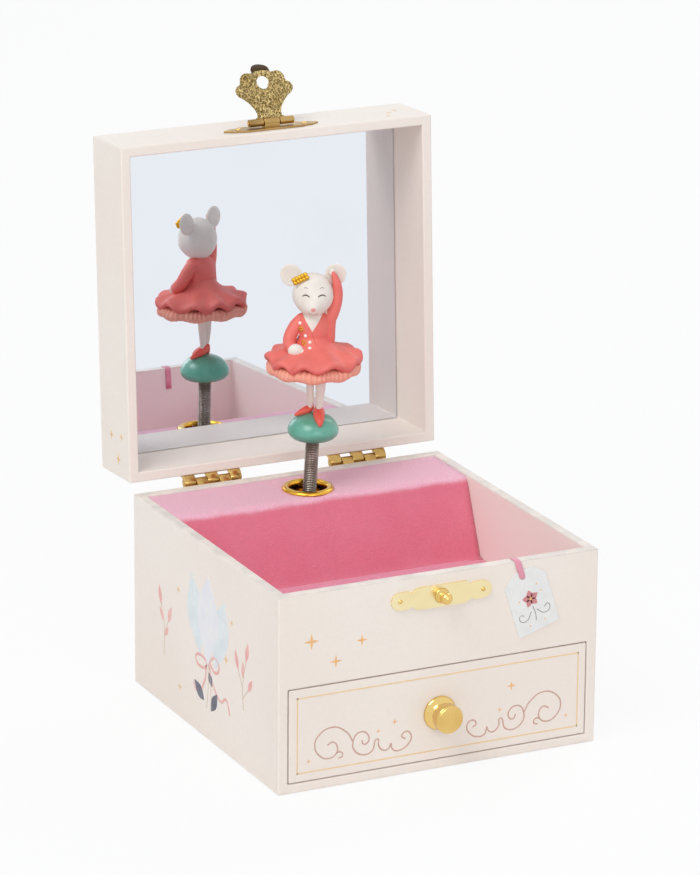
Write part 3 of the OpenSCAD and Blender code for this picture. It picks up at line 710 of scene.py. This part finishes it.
petals("tag_flower", [(0, 2.4, 3.1, 1.5, lean, 0.8) for lean in (0, 72, 144, 216, 288)],
       tag_top, "case", blush_ink, 0.03)
dots("tag_dots", [(0, 2.4, 0.6), (-4.2, 3, 0.3), (4.3, 3.6, 0.3), (3.4, 6.4, 0.3), (-2.8, -6.6, 0.3),
                  (2.8, -6.6, 0.3)], tag_top, "case", gold_ink)

satin = Finish("pink_satin", ink(232, 150, 172), 0.38, Sheen_Weight=0.3, Sheen_Roughness=0.3)
ribs = satin.add("TexWave", {"bands_direction": "Z"}, {"Vector": satin.place(), "Scale": 1800.0})
soft = satin.noise(300, 2).ramp(0.3, 0.7)
satin.put("Base Color", satin.blend(soft * 0.4, ink(236, 158, 178), ink(222, 134, 158)))
pink_satin = satin.bump(ribs, 0.3, 0.0001)
over = [(-57.62, 60.9), (-57.95, 61.4), (-58.05, 62.2), (-58.03, 64), (-57.85, 66.2), (-57.65, 66.95),
        (-57.0, 67.3),
        (-55.8, 67.32), (-54.5, 67.3), (-53.95, 66.9), (-53.85, 66), (-53.82, 62), (-53.85, 59.2)]
strip = profile_sheet(over, 26.4, 28.6, 6)
for v in strip.verts:
    if v.co.y < -57:
        v.co.x += (67.2 - v.co.z) * 0.3
bmesh.ops.recalc_face_normals(strip, faces=strip.faces)
ribbon = settle("tag_ribbon", strip, "case", pink_satin)
cloth = ribbon.modifiers.new("cloth", "SOLIDIFY")
cloth.thickness = 0.14 * MM
cloth.offset = 0
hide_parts("tag_ribbon")

# ---------------------------------------------------------------------------------------
# Brass: turned and stamped fittings. The ring, knob, plate and stud are polished, the
# hinges drawn and lacquered, the hasp stippled and aged.
# ---------------------------------------------------------------------------------------


def brass(name, color, rough, dark, grain=260, depth=0.05):
    work = Finish(name, color, rough, 1.0)
    smear = work.noise(90, 4).ramp(0.3, 0.75)
    fine = work.noise(grain * 5, 3).ramp(0.3, 0.7)
    tone = work.blend(smear * 0.5, color, dark)
    work.put("Base Color", tone)
    work.put("Roughness", rough + 0.1 * smear + 0.05 * fine)
    return work.bump(fine, depth, 0.0001)


bright_brass = brass("bright_brass", ink(232, 198, 124), 0.09, ink(206, 162, 84), 260, 0.02)
plate_brass = brass("plate_brass", ink(246, 232, 186), 0.24, ink(236, 214, 158), 260, 0.02)
ring_brass = brass("ring_brass", ink(232, 180, 70), 0.12, ink(206, 148, 44))
hinge_brass = brass("hinge_brass", ink(206, 168, 100), 0.2, ink(116, 76, 32), 300, 0.1)


def turned(points, steps=72):
    """Spins an outline of radius and height into a solid of revolution."""
    bm = bmesh.new()
    chain = [bm.verts.new((max(r, 0), 0, h)) for r, h in points]
    edges = [bm.edges.new(pair) for pair in zip(chain, chain[1:])]
    bmesh.ops.spin(bm, geom=chain + edges, cent=(0, 0, 0), axis=(0, 0, 1), angle=math.tau,
                   steps=steps, use_merge=True)
    bmesh.ops.remove_doubles(bm, verts=bm.verts, dist=0.0005)
    bmesh.ops.recalc_face_normals(bm, faces=bm.faces)
    return bm


ring_outline = [(6.3, -4.2), (7, -4.2), (7.05, 0.02), (8.6, 0.02), (8.83, 0.2), (8.85, 0.45), (8.55, 0.95),
                (8.05, 1.25), (7.4, 1.35), (6.85, 1.2), (6.5, 0.85), (6.3, 0.3), (6.3, -4.2)]
ring = settle("brass_ring", turned(ring_outline, 96), "case", ring_brass,
              fix=Matrix.Translation((*RING_AT, LEDGE)))
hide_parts("ferrule")

outwards = Matrix.Rotation(math.radians(90), 4, "X")
knob_outline = [(0, 2), (1.2, 2), (1.2, 0.02), (5.55, 0.02), (5.75, 0.15), (5.8, 0.5), (5.7, 0.85),
                (5.35, 1.25), (4.75, 1.7), (4.2, 2.2), (3.8, 2.75), (3.65, 3.25), (3.75, 3.65),
                (4.1, 4.0), (4.55, 4.25), (4.75, 4.5), (4.8, 4.8), (4.8, 7.3), (4.75, 7.5),
                (4.6, 7.65), (4.3, 7.9), (4.1, 7.98), (3.9, 8.0), (0, 8.02)]
knob = settle("drawer_knob", turned(knob_outline, 96), "drawer", bright_brass,
              fix=Matrix.Translation((0, -HALF, 19.4)) @ outwards)
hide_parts("knob")
stud_outline = [(0, -3), (1.2, -3), (1.2, 0.8), (2.5, 0.82), (2.6, 1.0), (2.3, 1.3), (1.5, 1.7), (1.3, 2.1)]
stud_outline += [(2 * math.sin(math.radians(a)), 3.9 - 2 * math.cos(math.radians(a)))
                 for a in range(40, 181, 10)]
stud = settle("catch_ball", turned(stud_outline, 48), "case", bright_brass,
              fix=Matrix.Translation((0, -HALF, 59.7)) @ outwards)
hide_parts("catch_stud")


def plate_from(outline, thick):
    """A flat plate from half an outline, mirrored left to right."""
    points = outline + [(-px, py) for px, py in reversed(outline) if abs(px) > 0.01]
    bm = bmesh.new()
    flat = bm.faces.new([bm.verts.new((px, py, 0)) for px, py in points])
    up = bmesh.ops.extrude_face_region(bm, geom=[flat])["geom"]
    bmesh.ops.translate(bm, vec=(0, 0, thick), verts=[v for v in up if isinstance(v, bmesh.types.BMVert)])
    bmesh.ops.recalc_face_normals(bm, faces=bm.faces)
    return bm


half_plate = [(0, -3.7), (7.6, -3.75), (8.9, -3.65), (9.6, -3.1), (10.3, -2.5), (11.1, -2.45),
              (11.6, -2.9), (12.4, -3.0), (14.6, -3.0), (16.2, -2.75), (17.3, -2.0), (17.9, -0.9),
              (18, 0), (17.9, 0.9), (17.3, 2.0), (16.2, 2.75), (14.6, 3.0), (12.4, 3.0), (11.6, 2.9),
              (11.1, 2.45), (10.3, 2.5), (9.6, 3.1), (8.9, 3.65), (7.6, 3.75), (0, 3.7)]
catch_face = front_face @ Matrix.Translation((0, 59.7, 0))
stamped = carve(plate_from(half_plate, 0.8), rod(1.22, -2, 3, "Z", (0, 0)))
plate_piece = settle("catch_plate", stamped, "case", plate_brass, 0.32, 3, fix=catch_face)
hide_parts("catch_plate")


def eased_copy(node, body, material, width):
    """A CAD part with its edges rounded over, in place of the sharp one."""
    bm = bmesh.new()
    bm.from_mesh(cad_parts[node].data)
    bmesh.ops.scale(bm, vec=(1000, 1000, 1000), verts=bm.verts)
    bmesh.ops.remove_doubles(bm, verts=bm.verts, dist=0.002)
    bmesh.ops.dissolve_limit(bm, angle_limit=math.radians(1), verts=bm.verts, edges=bm.edges)
    piece = settle(node + "_eased", bm, body, material, width, 2)
    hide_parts(node)
    return piece


eased_copy("case_hinge_leaves", "case", hinge_brass, 0.12)
eased_copy("lid_hinge_leaves", "lid", hinge_brass, 0.12)
eased_copy("hinge_pins", "lid", hinge_brass, 0.1)
eased_copy("winding_key", "winding_key", hinge_brass, 0.35)
eased_copy("key_bush", "case", bright_brass, 0.1)


def nail_heads(name, node, spots, body, fix, radius=1.0):
    """Domed nail heads, each with its shank."""
    bm = bmesh.new()
    for px, py, base in spots:
        start = set(bm.verts)
        bmesh.ops.create_uvsphere(bm, u_segments=20, v_segments=10, radius=radius)
        head = [v for v in bm.verts if v not in start]
        bmesh.ops.scale(bm, vec=(1, 1, 0.5), verts=head)
        shank = bmesh.ops.create_cone(bm, cap_ends=True, segments=16, radius1=radius * 0.5,
                                      radius2=radius * 0.5, depth=base + 0.1)["verts"]
        bmesh.ops.translate(bm, vec=(0, 0, -base / 2), verts=shank)
        bmesh.ops.translate(bm, vec=(px, py, base), verts=head + shank)
    piece = settle(name, bm, body, bright_brass, fix=fix)
    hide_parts(node)


back_face = Matrix(((-1, 0, 0, 0), (0, 0, 1, HALF), (0, 1, 0, 0), (0, 0, 0, 1)))
leaf_x = [side * 27.35 + shift for side in (-1, 1) for shift in (-6.36, 6.36)]
nail_heads("catch_nails", "catch_nails", [(-14.9, 59.7, 0.8), (14.9, 59.7, 0.8)], "case", front_face, 0.8)
nail_heads("case_leaf_nails", "case_hinge_nails", [(-px, 60.35, 0.7) for px in leaf_x], "case", back_face)
nail_heads("lid_leaf_nails", "lid_hinge_nails", [(-px, 74.35, 0.7) for px in leaf_x], "lid",
           opened @ back_face)
nail_heads("hasp_plate_nails", "hasp_nails", [(-12.2, 73.4, 0.7), (12.2, 73.4, 0.7)], "lid",
           opened @ front_face, 0.9)

# ---------------------------------------------------------------------------------------
# Hasp: a shell shaped flap stamped from aged brass, stippled behind and fluted in
# front, with a curled thumb tab; it turns on a pin in a pointed base plate.
# ---------------------------------------------------------------------------------------
aged = Finish("aged_brass", ink(150, 126, 74), 0.34, 1.0)
pits = aged.add("TexVoronoi", {"feature": "SMOOTH_F1"}, {"Vector": aged.place(), "Scale": 1500.0})
pits = pits.ramp(0.15, 0.65)
dirt = aged.noise(700, 4).ramp(0.38, 0.62)
tarnish = aged.noise(110, 3).ramp(0.35, 0.65)
tone = aged.blend(pits, ink(104, 82, 42), aged.blend(tarnish, ink(208, 184, 124), ink(164, 136, 80)))
aged.put("Base Color", aged.blend(dirt * 0.3, tone, ink(204, 184, 134)))
aged.put("Roughness", 0.28 + 0.22 * dirt)
aged_brass = aged.bump(pits, 0.9, 0.0005)
worn_brass = brass("worn_brass", ink(190, 156, 98), 0.28, ink(104, 76, 38), 400, 0.15)
# The thumb tab's very dark brass is painted shade, where the curl turns away from the light.
dark_brass = brass("dark_brass", ink(74, 58, 38), 0.35, ink(48, 38, 26), 400, 0.2)

HASP_Y = -59.8
HASP_Z = 73.4
FALLEN = 26
hasp_frame = (opened @ Matrix.Translation((0, HASP_Y, HASP_Z))
              @ Matrix.Rotation(math.radians(-FALLEN), 4, "X"))
half_hasp = [(0, -1.1), (4.5, -1.1), (4.4, -3.2), (5.0, -4.8), (6.4, -6.8), (8.0, -8.4), (9.6, -9.4),
             (10.5, -10.6), (10.5, -11.9), (9.8, -13.0), (8.6, -13.6), (8.3, -14.2), (8.1, -15.6),
             (7.2, -16.9), (5.9, -17.4), (4.6, -17.3), (3.6, -17.1), (2.4, -17.7), (0, -17.9)]
flap = carve(plate_from(half_hasp, 0.8), rod(2.28, -3, 4, "Z", (0, -13.7)))
bmesh.ops.translate(flap, vec=(0, 0, -0.4), verts=flap.verts)
hasp_piece = settle("hasp_shell", flap, "hasp", aged_brass, 0.25, 2, fix=hasp_frame)
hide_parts("hasp")
flutes = bmesh.new()
for lean, far in ((-38, 8.0), (-19, 9.6), (0, 6.0), (19, 9.6), (38, 8.0)):
    start = set(flutes.verts)
    bmesh.ops.create_uvsphere(flutes, u_segments=20, v_segments=12, radius=1)
    ridge = [v for v in flutes.verts if v not in start]
    for v in ridge:
        v.co = Vector((v.co.x * (1.05 + 0.35 * v.co.y * -1), v.co.y * far / 2, v.co.z * 0.42))
    bmesh.ops.translate(flutes, vec=(0, -far / 2 - 1, 0), verts=ridge)
    bmesh.ops.rotate(flutes, cent=(0, 0, 0), matrix=Matrix.Rotation(math.radians(lean), 3, "Z"),
                     verts=ridge)
    bmesh.ops.translate(flutes, vec=(0, -4.4, 0.4), verts=ridge)
settle("hasp_flutes", flutes, "hasp", worn_brass, fix=hasp_frame)
knuckles = bmesh.new()
for low, high in ((-8.2, -3.1), (3.1, 8.2)):
    sleeve = rod(1.28, low, high, "X", (0, 0), 32)
    holder = bpy.data.meshes.new("sleeve")
    sleeve.to_mesh(holder)
    sleeve.free()
    knuckles.from_mesh(holder)
for side in (-1, 1):
    web = bmesh.ops.create_cube(knuckles, size=1)["verts"]
    bmesh.ops.scale(knuckles, vec=(1.9, 1.5, 0.8), verts=web)
    bmesh.ops.translate(knuckles, vec=(side * 4.1, -1.0, 0), verts=web)
settle("hasp_knuckles", knuckles, "hasp", worn_brass, 0.15, 2, fix=hasp_frame)
# Thumb tab, in the dark brass that is painted shade.
bm = bmesh.new()
bmesh.ops.create_grid(bm, x_segments=14, y_segments=10, size=0.5)
for v in bm.verts:
    far = v.co.y + 0.5
    round_off = math.sqrt(max(0.02, 1 - max(0, far - 0.35) ** 2 / 0.4225))
    v.co = Vector((v.co.x * 6.4 * round_off, -17.0 - 3.4 * far, 2.2 * far ** 1.6))
tab = settle("hasp_tab", bm, "hasp", dark_brass, fix=hasp_frame)
gauge = tab.modifiers.new("gauge", "SOLIDIFY")
gauge.thickness = 0.7 * MM
gauge.offset = 0

half_base = [(0, 4.4), (2.4, 3.9), (4.6, 3.1), (6.6, 3.0), (8.6, 3.5), (10.6, 3.5), (11.8, 2.7),
             (12.6, 2.3), (13.8, 2.4), (14.9, 1.9), (15.8, 1.0), (17.6, 0), (15.8, -1.0),
             (14.9, -1.9), (13.8, -2.3), (12.6, -2.2), (11.8, -2.7), (10.6, -3.3), (0, -3.3)]
base = settle("hasp_base_plate", plate_from(half_base, 0.7), "lid", worn_brass, 0.2, 2,
              fix=opened @ front_face @ Matrix.Translation((0, HASP_Z, 0)))
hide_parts("hasp_base")
mount = new_box((-2.8, HASP_Y, HASP_Z - 1.25), (2.8, -HALF - 0.3, HASP_Z + 1.25))
settle("hasp_mount", mount, "lid", worn_brass, 0.25, 2, fix=opened)
centre = rod(1.3, -2.8, 2.8, "X", (HASP_Y, HASP_Z), 32)
settle("hasp_mid_knuckle", centre, "lid", worn_brass, 0.15, 2, fix=opened)
pin_bar = rod(0.55, -8.6, 8.6, "X", (HASP_Y, HASP_Z), 24)
pin_piece = settle("hasp_pin_bar", pin_bar, "lid", bright_brass, 0.1, 2, fix=opened)
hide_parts("hasp_pin")

# ---------------------------------------------------------------------------------------
# Spring: close wound steel wire from the spindle to the figure's dome, built here as one
# fixed coil.
# ---------------------------------------------------------------------------------------
steel = Finish("spring_steel", ink(172, 170, 168), 0.24, 1.0)
dull = steel.noise(200, 4).ramp(0.3, 0.7)
steel.put("Base Color", steel.blend(dull, ink(170, 160, 152), ink(132, 120, 110)))
steel.put("Roughness", 0.22 + 0.1 * dull)
spring_steel = steel.bump(dull, 0.05, 0.0001)
FIGURE = (0.7, 39.4)
SPRING_LOW = 64.0
SPRING_TOP = 83.8
WIRE = 0.31
TURNS = 31
bm = bmesh.new()
bmesh.ops.create_circle(bm, segments=8, radius=WIRE,
                        matrix=Matrix.Translation((2.35 - WIRE, 0,
                                0)) @ Matrix.Rotation(math.radians(90), 4, "X"))
rise = (SPRING_TOP - SPRING_LOW - 2 * WIRE) / TURNS
bmesh.ops.spin(bm, geom=bm.verts[:] + bm.edges[:], cent=(0, 0, 0), axis=(0, 0, 1),
               angle=math.tau * TURNS, steps=TURNS * 24, dvec=(0, 0, rise / 24))
bmesh.ops.holes_fill(bm, edges=[e for e in bm.edges if e.is_boundary])
bmesh.ops.recalc_face_normals(bm, faces=bm.faces)
for v in bm.verts:
    share = (v.co.z + WIRE) / (SPRING_TOP - SPRING_LOW)
    v.co += Vector((-0.7 + 1.2 * share, 39.4, SPRING_LOW + WIRE))
coil = settle("steel_spring", bm, None, spring_steel)
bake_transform(coil)
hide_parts("spring")
collar_brass = brass("collar_brass", ink(132, 98, 66), 0.4, ink(86, 62, 44), 300, 0.1)
collar_outline = [(0, 83.2), (2.4, 83.2), (2.6, 83.4), (2.6, 84.1), (2.5, 84.25), (0, 84.25)]
collar = settle("spring_collar", turned(collar_outline, 48), "figure_tilt", collar_brass,
                fix=Matrix.Translation((*FIGURE, 0)))
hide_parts("spring_collar")

# ---------------------------------------------------------------------------------------
# Dome: a moulded resin button that stands for a grassy knoll, painted a glossy green.
# ---------------------------------------------------------------------------------------
DOME = 83.1
enamel = Finish("green_enamel", ink(98, 176, 152), 0.3, Coat_Weight=0.4, Coat_Roughness=0.15)
x, y, z = enamel.axes()
brushed = enamel.noise(120, 4, (1, 1, 2.5)).ramp(0.3, 0.7)
# The foot of the dome is painted darker, as painted shade.
low = (DOME + 4 - z).ramp(0, 4)
tone = enamel.blend(brushed, ink(104, 180, 158), ink(84, 164, 140))
enamel.put("Base Color", enamel.blend(low * 0.55, tone, ink(70, 146, 124)))
enamel.put("Roughness", 0.26 + 0.14 * brushed)
green_enamel = enamel.bump(brushed, 0.15, 0.0002)
figure_at = Matrix.Translation((*FIGURE, DOME)) @ Matrix.Rotation(math.radians(-26), 4, "Z")
dome_outline = [(0, 1.1), (5.0, 1.1), (6.3, 1.3), (7.3, 1.8), (8.1, 2.6), (8.55, 3.5), (8.65, 4.3),
                (8.5, 5.2),
                (8.05, 6.3), (7.3, 7.4), (6.3, 8.4), (5.0, 9.2), (3.5, 9.85), (1.8, 10.25), (0, 10.4)]
dome = settle("green_dome", turned(dome_outline, 96), "dancer", green_enamel, fix=figure_at)
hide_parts("dome")

# ---------------------------------------------------------------------------------------
# Dancer: a hand painted resin mouse of a plain, generic kind in a wrap dress, one arm
# raised. It is moulded in one piece and glued to the dome by its shoes.
# ---------------------------------------------------------------------------------------


def resin(name, color, shade, rough=0.42):
    work = Finish(name, color, rough, Specular_IOR_Level=0.4)
    paint = work.noise(240, 4).ramp(0.3, 0.75)
    pore = work.noise(1100, 3).ramp(0.3, 0.7)
    work.color = work.blend(paint * 0.5, color, shade)
    work.put("Base Color", work.color)
    work.put("Roughness", rough + 0.14 * pore)
    work.bump(paint * 0.6 + pore * 0.4, 0.18, 0.0002)
    return work


skin = resin("pale_resin", ink(240, 233, 224), ink(226, 216, 206)).material
dress_finish = resin("coral_resin", ink(238, 122, 112), ink(226, 104, 98))
coral = dress_finish.material
peach = resin("peach_resin", ink(246, 172, 150), ink(240, 150, 132), 0.55).material
shoe_red = resin("shoe_resin", ink(240, 104, 88), ink(228, 88, 76), 0.3).material
gilt = brass("gilt_paint", ink(226, 176, 60), 0.3, ink(190, 134, 34), 400, 0.1)


def tube(bm, stations, segments=24):
    """A closed limb through rounded stations of x, y, z and radius."""
    path = []
    for i in range(len(stations) - 1):
        near = [Vector(stations[max(0, min(len(stations) - 1, i + k))]) for k in (-1, 0, 1, 2)]
        for step in range(6):
            t = step / 6
            path.append(0.5 * (2 * near[1] + (near[2] - near[0]) * t
                               + (2 * near[0] - 5 * near[1] + 4 * near[2] - near[3]) * t * t
                               + (3 * near[1] - near[0] - 3 * near[2] + near[3]) * t ** 3))
    path.append(Vector(stations[-1]))
    heading = [(path[min(i + 1, len(path) - 1)].xyz - path[max(i - 1, 0)].xyz).normalized()
               for i in range(len(path))]

    facing = [heading[0].to_track_quat("Z", "Y")]
    for before, after in zip(heading, heading[1:]):
        facing.append(before.rotation_difference(after) @ facing[-1])

    def frame_at(i, along, share):
        spot = path[i].xyz + heading[i] * along * path[i].w
        turn = facing[i].to_matrix().to_4x4()
        return Matrix.Translation(spot) @ turn @ Matrix.Scale(max(path[i].w * share, 0.001), 4)

    last = len(path) - 1
    tip = [(-0.99, 0.14), (-0.87, 0.5), (-0.5, 0.87)]
    frames = [frame_at(0, *t) for t in tip] + [frame_at(i, 0, 1) for i in range(last + 1)]
    frames += [frame_at(last, -along, share) for along, share in reversed(tip)]
    ring = bmesh.ops.create_circle(bm, segments=segments, radius=1, cap_ends=True)["verts"]
    bmesh.ops.transform(bm, matrix=frames[0], verts=ring)
    edges = list({e for v in ring for e in v.link_edges})
    for before, after in zip(frames, frames[1:]):
        made = bmesh.ops.extrude_edge_only(bm, edges=edges)["geom"]
        ring = [item for item in made if isinstance(item, bmesh.types.BMVert)]
        edges = [item for item in made if isinstance(item, bmesh.types.BMEdge)
                 and item.verts[0] in ring and item.verts[1] in ring]
        bmesh.ops.transform(bm, matrix=after @ before.inverted(), verts=ring)
    bmesh.ops.holes_fill(bm, edges=edges)


def ball(bm, at, size, detail=20):
    """An ellipsoid, its vertices handed back."""
    made = bmesh.ops.create_uvsphere(bm, u_segments=detail, v_segments=detail // 2, radius=1)["verts"]
    bmesh.ops.scale(bm, vec=size, verts=made)
    bmesh.ops.translate(bm, vec=at, verts=made)
    return made


def figure_part(name, bm, material, soften=0):
    bmesh.ops.recalc_face_normals(bm, faces=bm.faces)
    piece = settle(name, bm, "dancer", material, fix=figure_at)
    if soften:
        round_off = piece.modifiers.new("round", "SUBSURF")
        round_off.levels = round_off.render_levels = soften
    return piece


HEAD = Vector((-0.2, -0.4, 51.5))
head = bmesh.new()
for v in ball(head, (0, 0, 0), (7.0, 6.7, 7.5), 48):
    chin = max(0, -v.co.z / 7.5)
    v.co.x *= 1 - 0.24 * chin ** 2
    if v.co.y < 0:
        v.co.y -= 2.3 * math.exp(-(v.co.x / 2.9) ** 2 - ((v.co.z + 3.4) / 2.8) ** 2)
    v.co += HEAD
face_tree = BVHTree.FromBMesh(head)
for side, at in ((-1, (-7.6, 1.0, 57.9)), (1, (7.1, 1.0, 58.1))):
    for v in ball(head, (0, 0, 0), (3.6, 1.3, 4.0), 32):
        rim = math.hypot(v.co.x / 3.6, v.co.z / 4.0)
        if v.co.y < 0:
            v.co.y += 1.5 * max(0, 1 - rim ** 2)
        v.co = Matrix.Rotation(math.radians(side * 24), 3, "Y") @ v.co + Vector(at)
figure_part("dancer_head", head, skin)

bare = bmesh.new()
ball(bare, (-6.0, -6.7, 33.9), (2.6, 1.7, 2.3), 24)
ball(bare, (-4.2, -6.9, 33.3), (1.3, 1.1, 1.5), 16)
tube(bare, [(-1.1, 0.4, 26, 1.6), (-1.1, 0.5, 19, 1.3), (-1.0, 0.4, 13, 1.0), (-1.6, 0.1, 11.6, 0.9)])
tube(bare, [(2.2, -0.3, 26, 2.0), (2.4, -0.4, 19.5, 1.7), (2.0, -0.8, 13.4, 1.15),
            (1.9, -2.4, 11.6, 1.0), (2.0, -3.8, 10.9, 0.8)])
ball(bare, (6.1, 0.2, 59.2), (1.2, 1.0, 1.5), 16)
figure_part("dancer_hands_legs", bare, skin)

x, y, z = dress_finish.axes()
turned_by = math.radians(26)
u = (x - FIGURE[0]) * math.cos(turned_by) - (y - FIGURE[1]) * math.sin(turned_by)
v_back = (x - FIGURE[0]) * math.sin(turned_by) + (y - FIGURE[1]) * math.cos(turned_by)
up = z - DOME
# The skirt's hem and underside are painted darker, as painted shade.
skirt_hem_shade = (31 - up).ramp(0, 2.4)
tone = dress_finish.blend(skirt_hem_shade * 0.45, dress_finish.color, ink(204, 84, 82))
wrap = (0.24 - abs(u + 0.7 - (39.8 - up) * 0.34)).ramp(0, 0.16) * (39.8 - up).ramp(0, 0.4)
wrap = wrap * (-1 * v_back - 3.2).ramp(0, 0.6) * (up - 35).ramp(0, 1)
tone = dress_finish.blend(wrap * 0.5, tone, ink(196, 78, 78))
neck = ((up - 39.8) * 0.6 - abs(u + 0.4)).ramp(-0.08, 0.08) * (-1 * v_back).ramp(0, 0.3)
neck = neck.math("MAXIMUM", (up - 45.3).ramp(0, 0.2)) * (4.6 - abs(u)).ramp(0, 0.2)
dress_finish.put("Base Color", dress_finish.blend(neck, tone, ink(236, 228, 218)))

trunk = [(0, 31), (5.2, 31), (5.3, 33), (5.1, 35.5), (5.3, 38), (5.7, 40.5), (5.7, 42.4), (5.0, 44.0),
         (3.6, 45.2), (2.7, 46.2), (2.4, 47.6), (0, 47.8)]
dress = turned(trunk, 64)
bmesh.ops.scale(dress, vec=(1, 0.84, 1), verts=dress.verts)
tube(dress, [(3.6, 0.2, 41.2, 2.9), (5.7, -0.2, 44.6, 2.5), (7.3, -0.6, 48.2, 2.0), (8.0, -0.9, 51.8, 1.7),
             (7.7, -0.9, 55.2, 1.5), (6.8, -0.8, 58.2, 1.0), (6.5, -0.7, 59.2, 0.6)])
tube(dress, [(-3.8, 0.2, 42.6, 2.5), (-6.2, -0.6, 40.4, 2.3), (-7.9, -1.9, 37.2, 2.2),
             (-8.0, -4.0, 35.2, 2.1), (-7.1, -5.6, 34.5, 1.9)])
tube(dress, [(4.9, 0.2, 36, 2.3), (5.0, 0, 40, 2.3), (5.5, -0.2, 44, 2.2), (6.6, -0.5, 47.4, 1.9)])
tutu = [(0, 37.6), (4.9, 37.6), (5.3, 36.6), (6.1, 35.5), (7.6, 34.3), (9.6, 33.2), (11.8, 32.3),
        (13.8, 31.6), (15.4, 31.0), (16.4, 30.3), (16.6, 29.5), (16.2, 28.8), (15.2, 28.4), (13.8, 28.6),
        (9, 29.1), (0, 29.1)]
skirt = turned(tutu, 176)
for v in skirt.verts:
    reach = math.hypot(v.co.x, v.co.y)
    part = max(0, min(1, (reach - 7) / 9)) ** 1.6
    angle = math.atan2(v.co.y, v.co.x)
    fold = math.sin(10 * angle + 0.7 * math.sin(3 * angle))
    v.co.z += part * (1.15 * fold + 0.3 * math.sin(4 * angle + 1))
    v.co.xy *= 1 - 0.03 * part * (1 - math.sin(10 * angle + 1.5 + 0.7 * math.sin(3 * angle)))
holder = bpy.data.meshes.new("skirt")
skirt.to_mesh(holder)
dress.from_mesh(holder)
dress_tree = BVHTree.FromBMesh(dress)
dress_piece = figure_part("dancer_dress", dress, coral)
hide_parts("dancer")

frill = turned([(0, 28.9), (12, 28.6), (14.6, 28.2), (15.6, 27.4), (16.0, 26.3), (15.8, 25.2), (15.0, 24.5),
                (13.6, 24.5), (9, 25.4), (0, 25.8)], 276)
for v in frill.verts:
    reach = math.hypot(v.co.x, v.co.y)
    part = max(0, min(1, (reach - 9) / 6))
    angle = math.atan2(v.co.y, v.co.x)
    pleat = abs(math.sin(27 * angle + 1.2 * math.sin(5 * angle)))
    v.co.xy *= 1 - 0.045 * part * (1 - pleat)
    v.co.z += part * (0.35 * math.sin(9 * angle) + 0.3 * pleat)
figure_part("dancer_underskirt", frill, peach)

shoes = bmesh.new()
tube(shoes, [(-0.7, 1.2, 12.7, 0.9), (-1.2, 0.6, 11.6, 1.35), (-3.2, -0.2, 10.8, 1.3), (-5.8, -0.9,
        9.8, 0.6)])
tube(shoes, [(1.9, -0.1, 12.7, 1.1), (1.9, -1.2, 11.1, 1.9), (2.0, -3.6, 10.0, 1.9), (2.2, -5.6, 9.0, 1.4),
             (2.3, -6.8, 8.1, 0.8)])
figure_part("dancer_shoes", shoes, shoe_red)


def onto(tree, px, pz, proud=0.0):
    """The point of a surface that lies straight ahead of px and pz."""
    hit = tree.ray_cast(Vector((px, -30, pz)), Vector((0, 1, 0)))
    return hit[0] + hit[1] * proud


lines = bmesh.new()
for cx, wide, drop in ((-2.6, 1.15, 0.5), (2.7, 1.15, 0.5)):
    tube(lines, [(*onto(face_tree, cx + wide * k, 52.6 + drop * (1 - k * k)), 0.17 + 0.07 * (1 - k * k))
                 for k in (-1, -0.5, 0, 0.5, 1)], 8)
    tube(lines, [(*onto(face_tree, cx + 0.6 * k, 55.4 - 0.2 * k * k), 0.09) for k in (-1, 0, 1)], 8)
tube(lines, [(*onto(face_tree, -0.1 + 1.5 * k, 46.4 + 0.5 * k * k), 0.1) for k in (-1, -0.5, 0, 0.5, 1)], 8)
figure_part("dancer_face", lines, print_finish("face_brown", ink(96, 66, 58)))
nose = bmesh.new()
ball(nose, onto(face_tree, -0.1, 48.6), (0.8, 0.5, 0.6), 16)
figure_part("dancer_nose", nose, resin("nose_pink", ink(232, 150, 144), ink(220, 130, 126), 0.3).material)
beads = bmesh.new()
for px, pz in ((-4.5, 42.4), (-5.0, 38.2), (-2.7, 38.2), (-1.2, 36.4), (-1.2, 34.8)):
    ball(beads, onto(dress_tree, px, pz), (0.6, 0.45, 0.6), 12)
figure_part("dancer_dots", beads, resin("white_dots", ink(250, 246, 240), ink(244, 238, 230), 0.3).material)
gold = bmesh.new()
for px, pz in ((-4.1, 40.4), (-3.2, 36.0)):
    for k in range(5):
        angle = k * math.tau / 5
        ball(gold, onto(dress_tree, px + 0.55 * math.cos(angle), pz + 0.55 * math.sin(angle)),
             (0.42, 0.3, 0.42), 10)
for k in range(5):
    along = (k - 2) * 1.05
    for side in (-0.5, 0.5):
        ball(gold, (-4.5 + along * 0.9 - side * 0.5, -3.9, 58.0 + along * 0.45 + side), (0.85, 0.75, 0.8), 14)
figure_part("dancer_gold", gold, gilt)

# ---------------------------------------------------------------------------------------
# Movement: a small comb movement behind the ledge. Cast zinc plates carry a turned
# brass barrel and pinned drum, a hardened steel comb and the spun air brake.
# ---------------------------------------------------------------------------------------
zinc = Finish("cast_zinc", ink(176, 172, 166), 0.45, 1.0)
grain = zinc.noise(500, 4).ramp(0.3, 0.7)
zinc.put("Base Color", zinc.blend(grain, ink(188, 184, 178), ink(148, 146, 142)))
zinc.put("Roughness", 0.38 + 0.2 * grain)
cast_zinc = zinc.bump(grain, 0.3, 0.0002)
turned_brass = brass("turned_brass", ink(214, 176, 96), 0.25, ink(182, 140, 66))
repaint(cast_zinc, "movement_plate", "front_bridge", "bridge_pillars", "comb_block", "governor_bracket")
repaint(turned_brass, "spring_barrel", "music_drum", "output_spindle")
repaint(bright_brass, "comb_screws")
repaint(spring_steel, "comb", "drum_shaft", "governor_fly", "winding_arbor", "knob_screw")
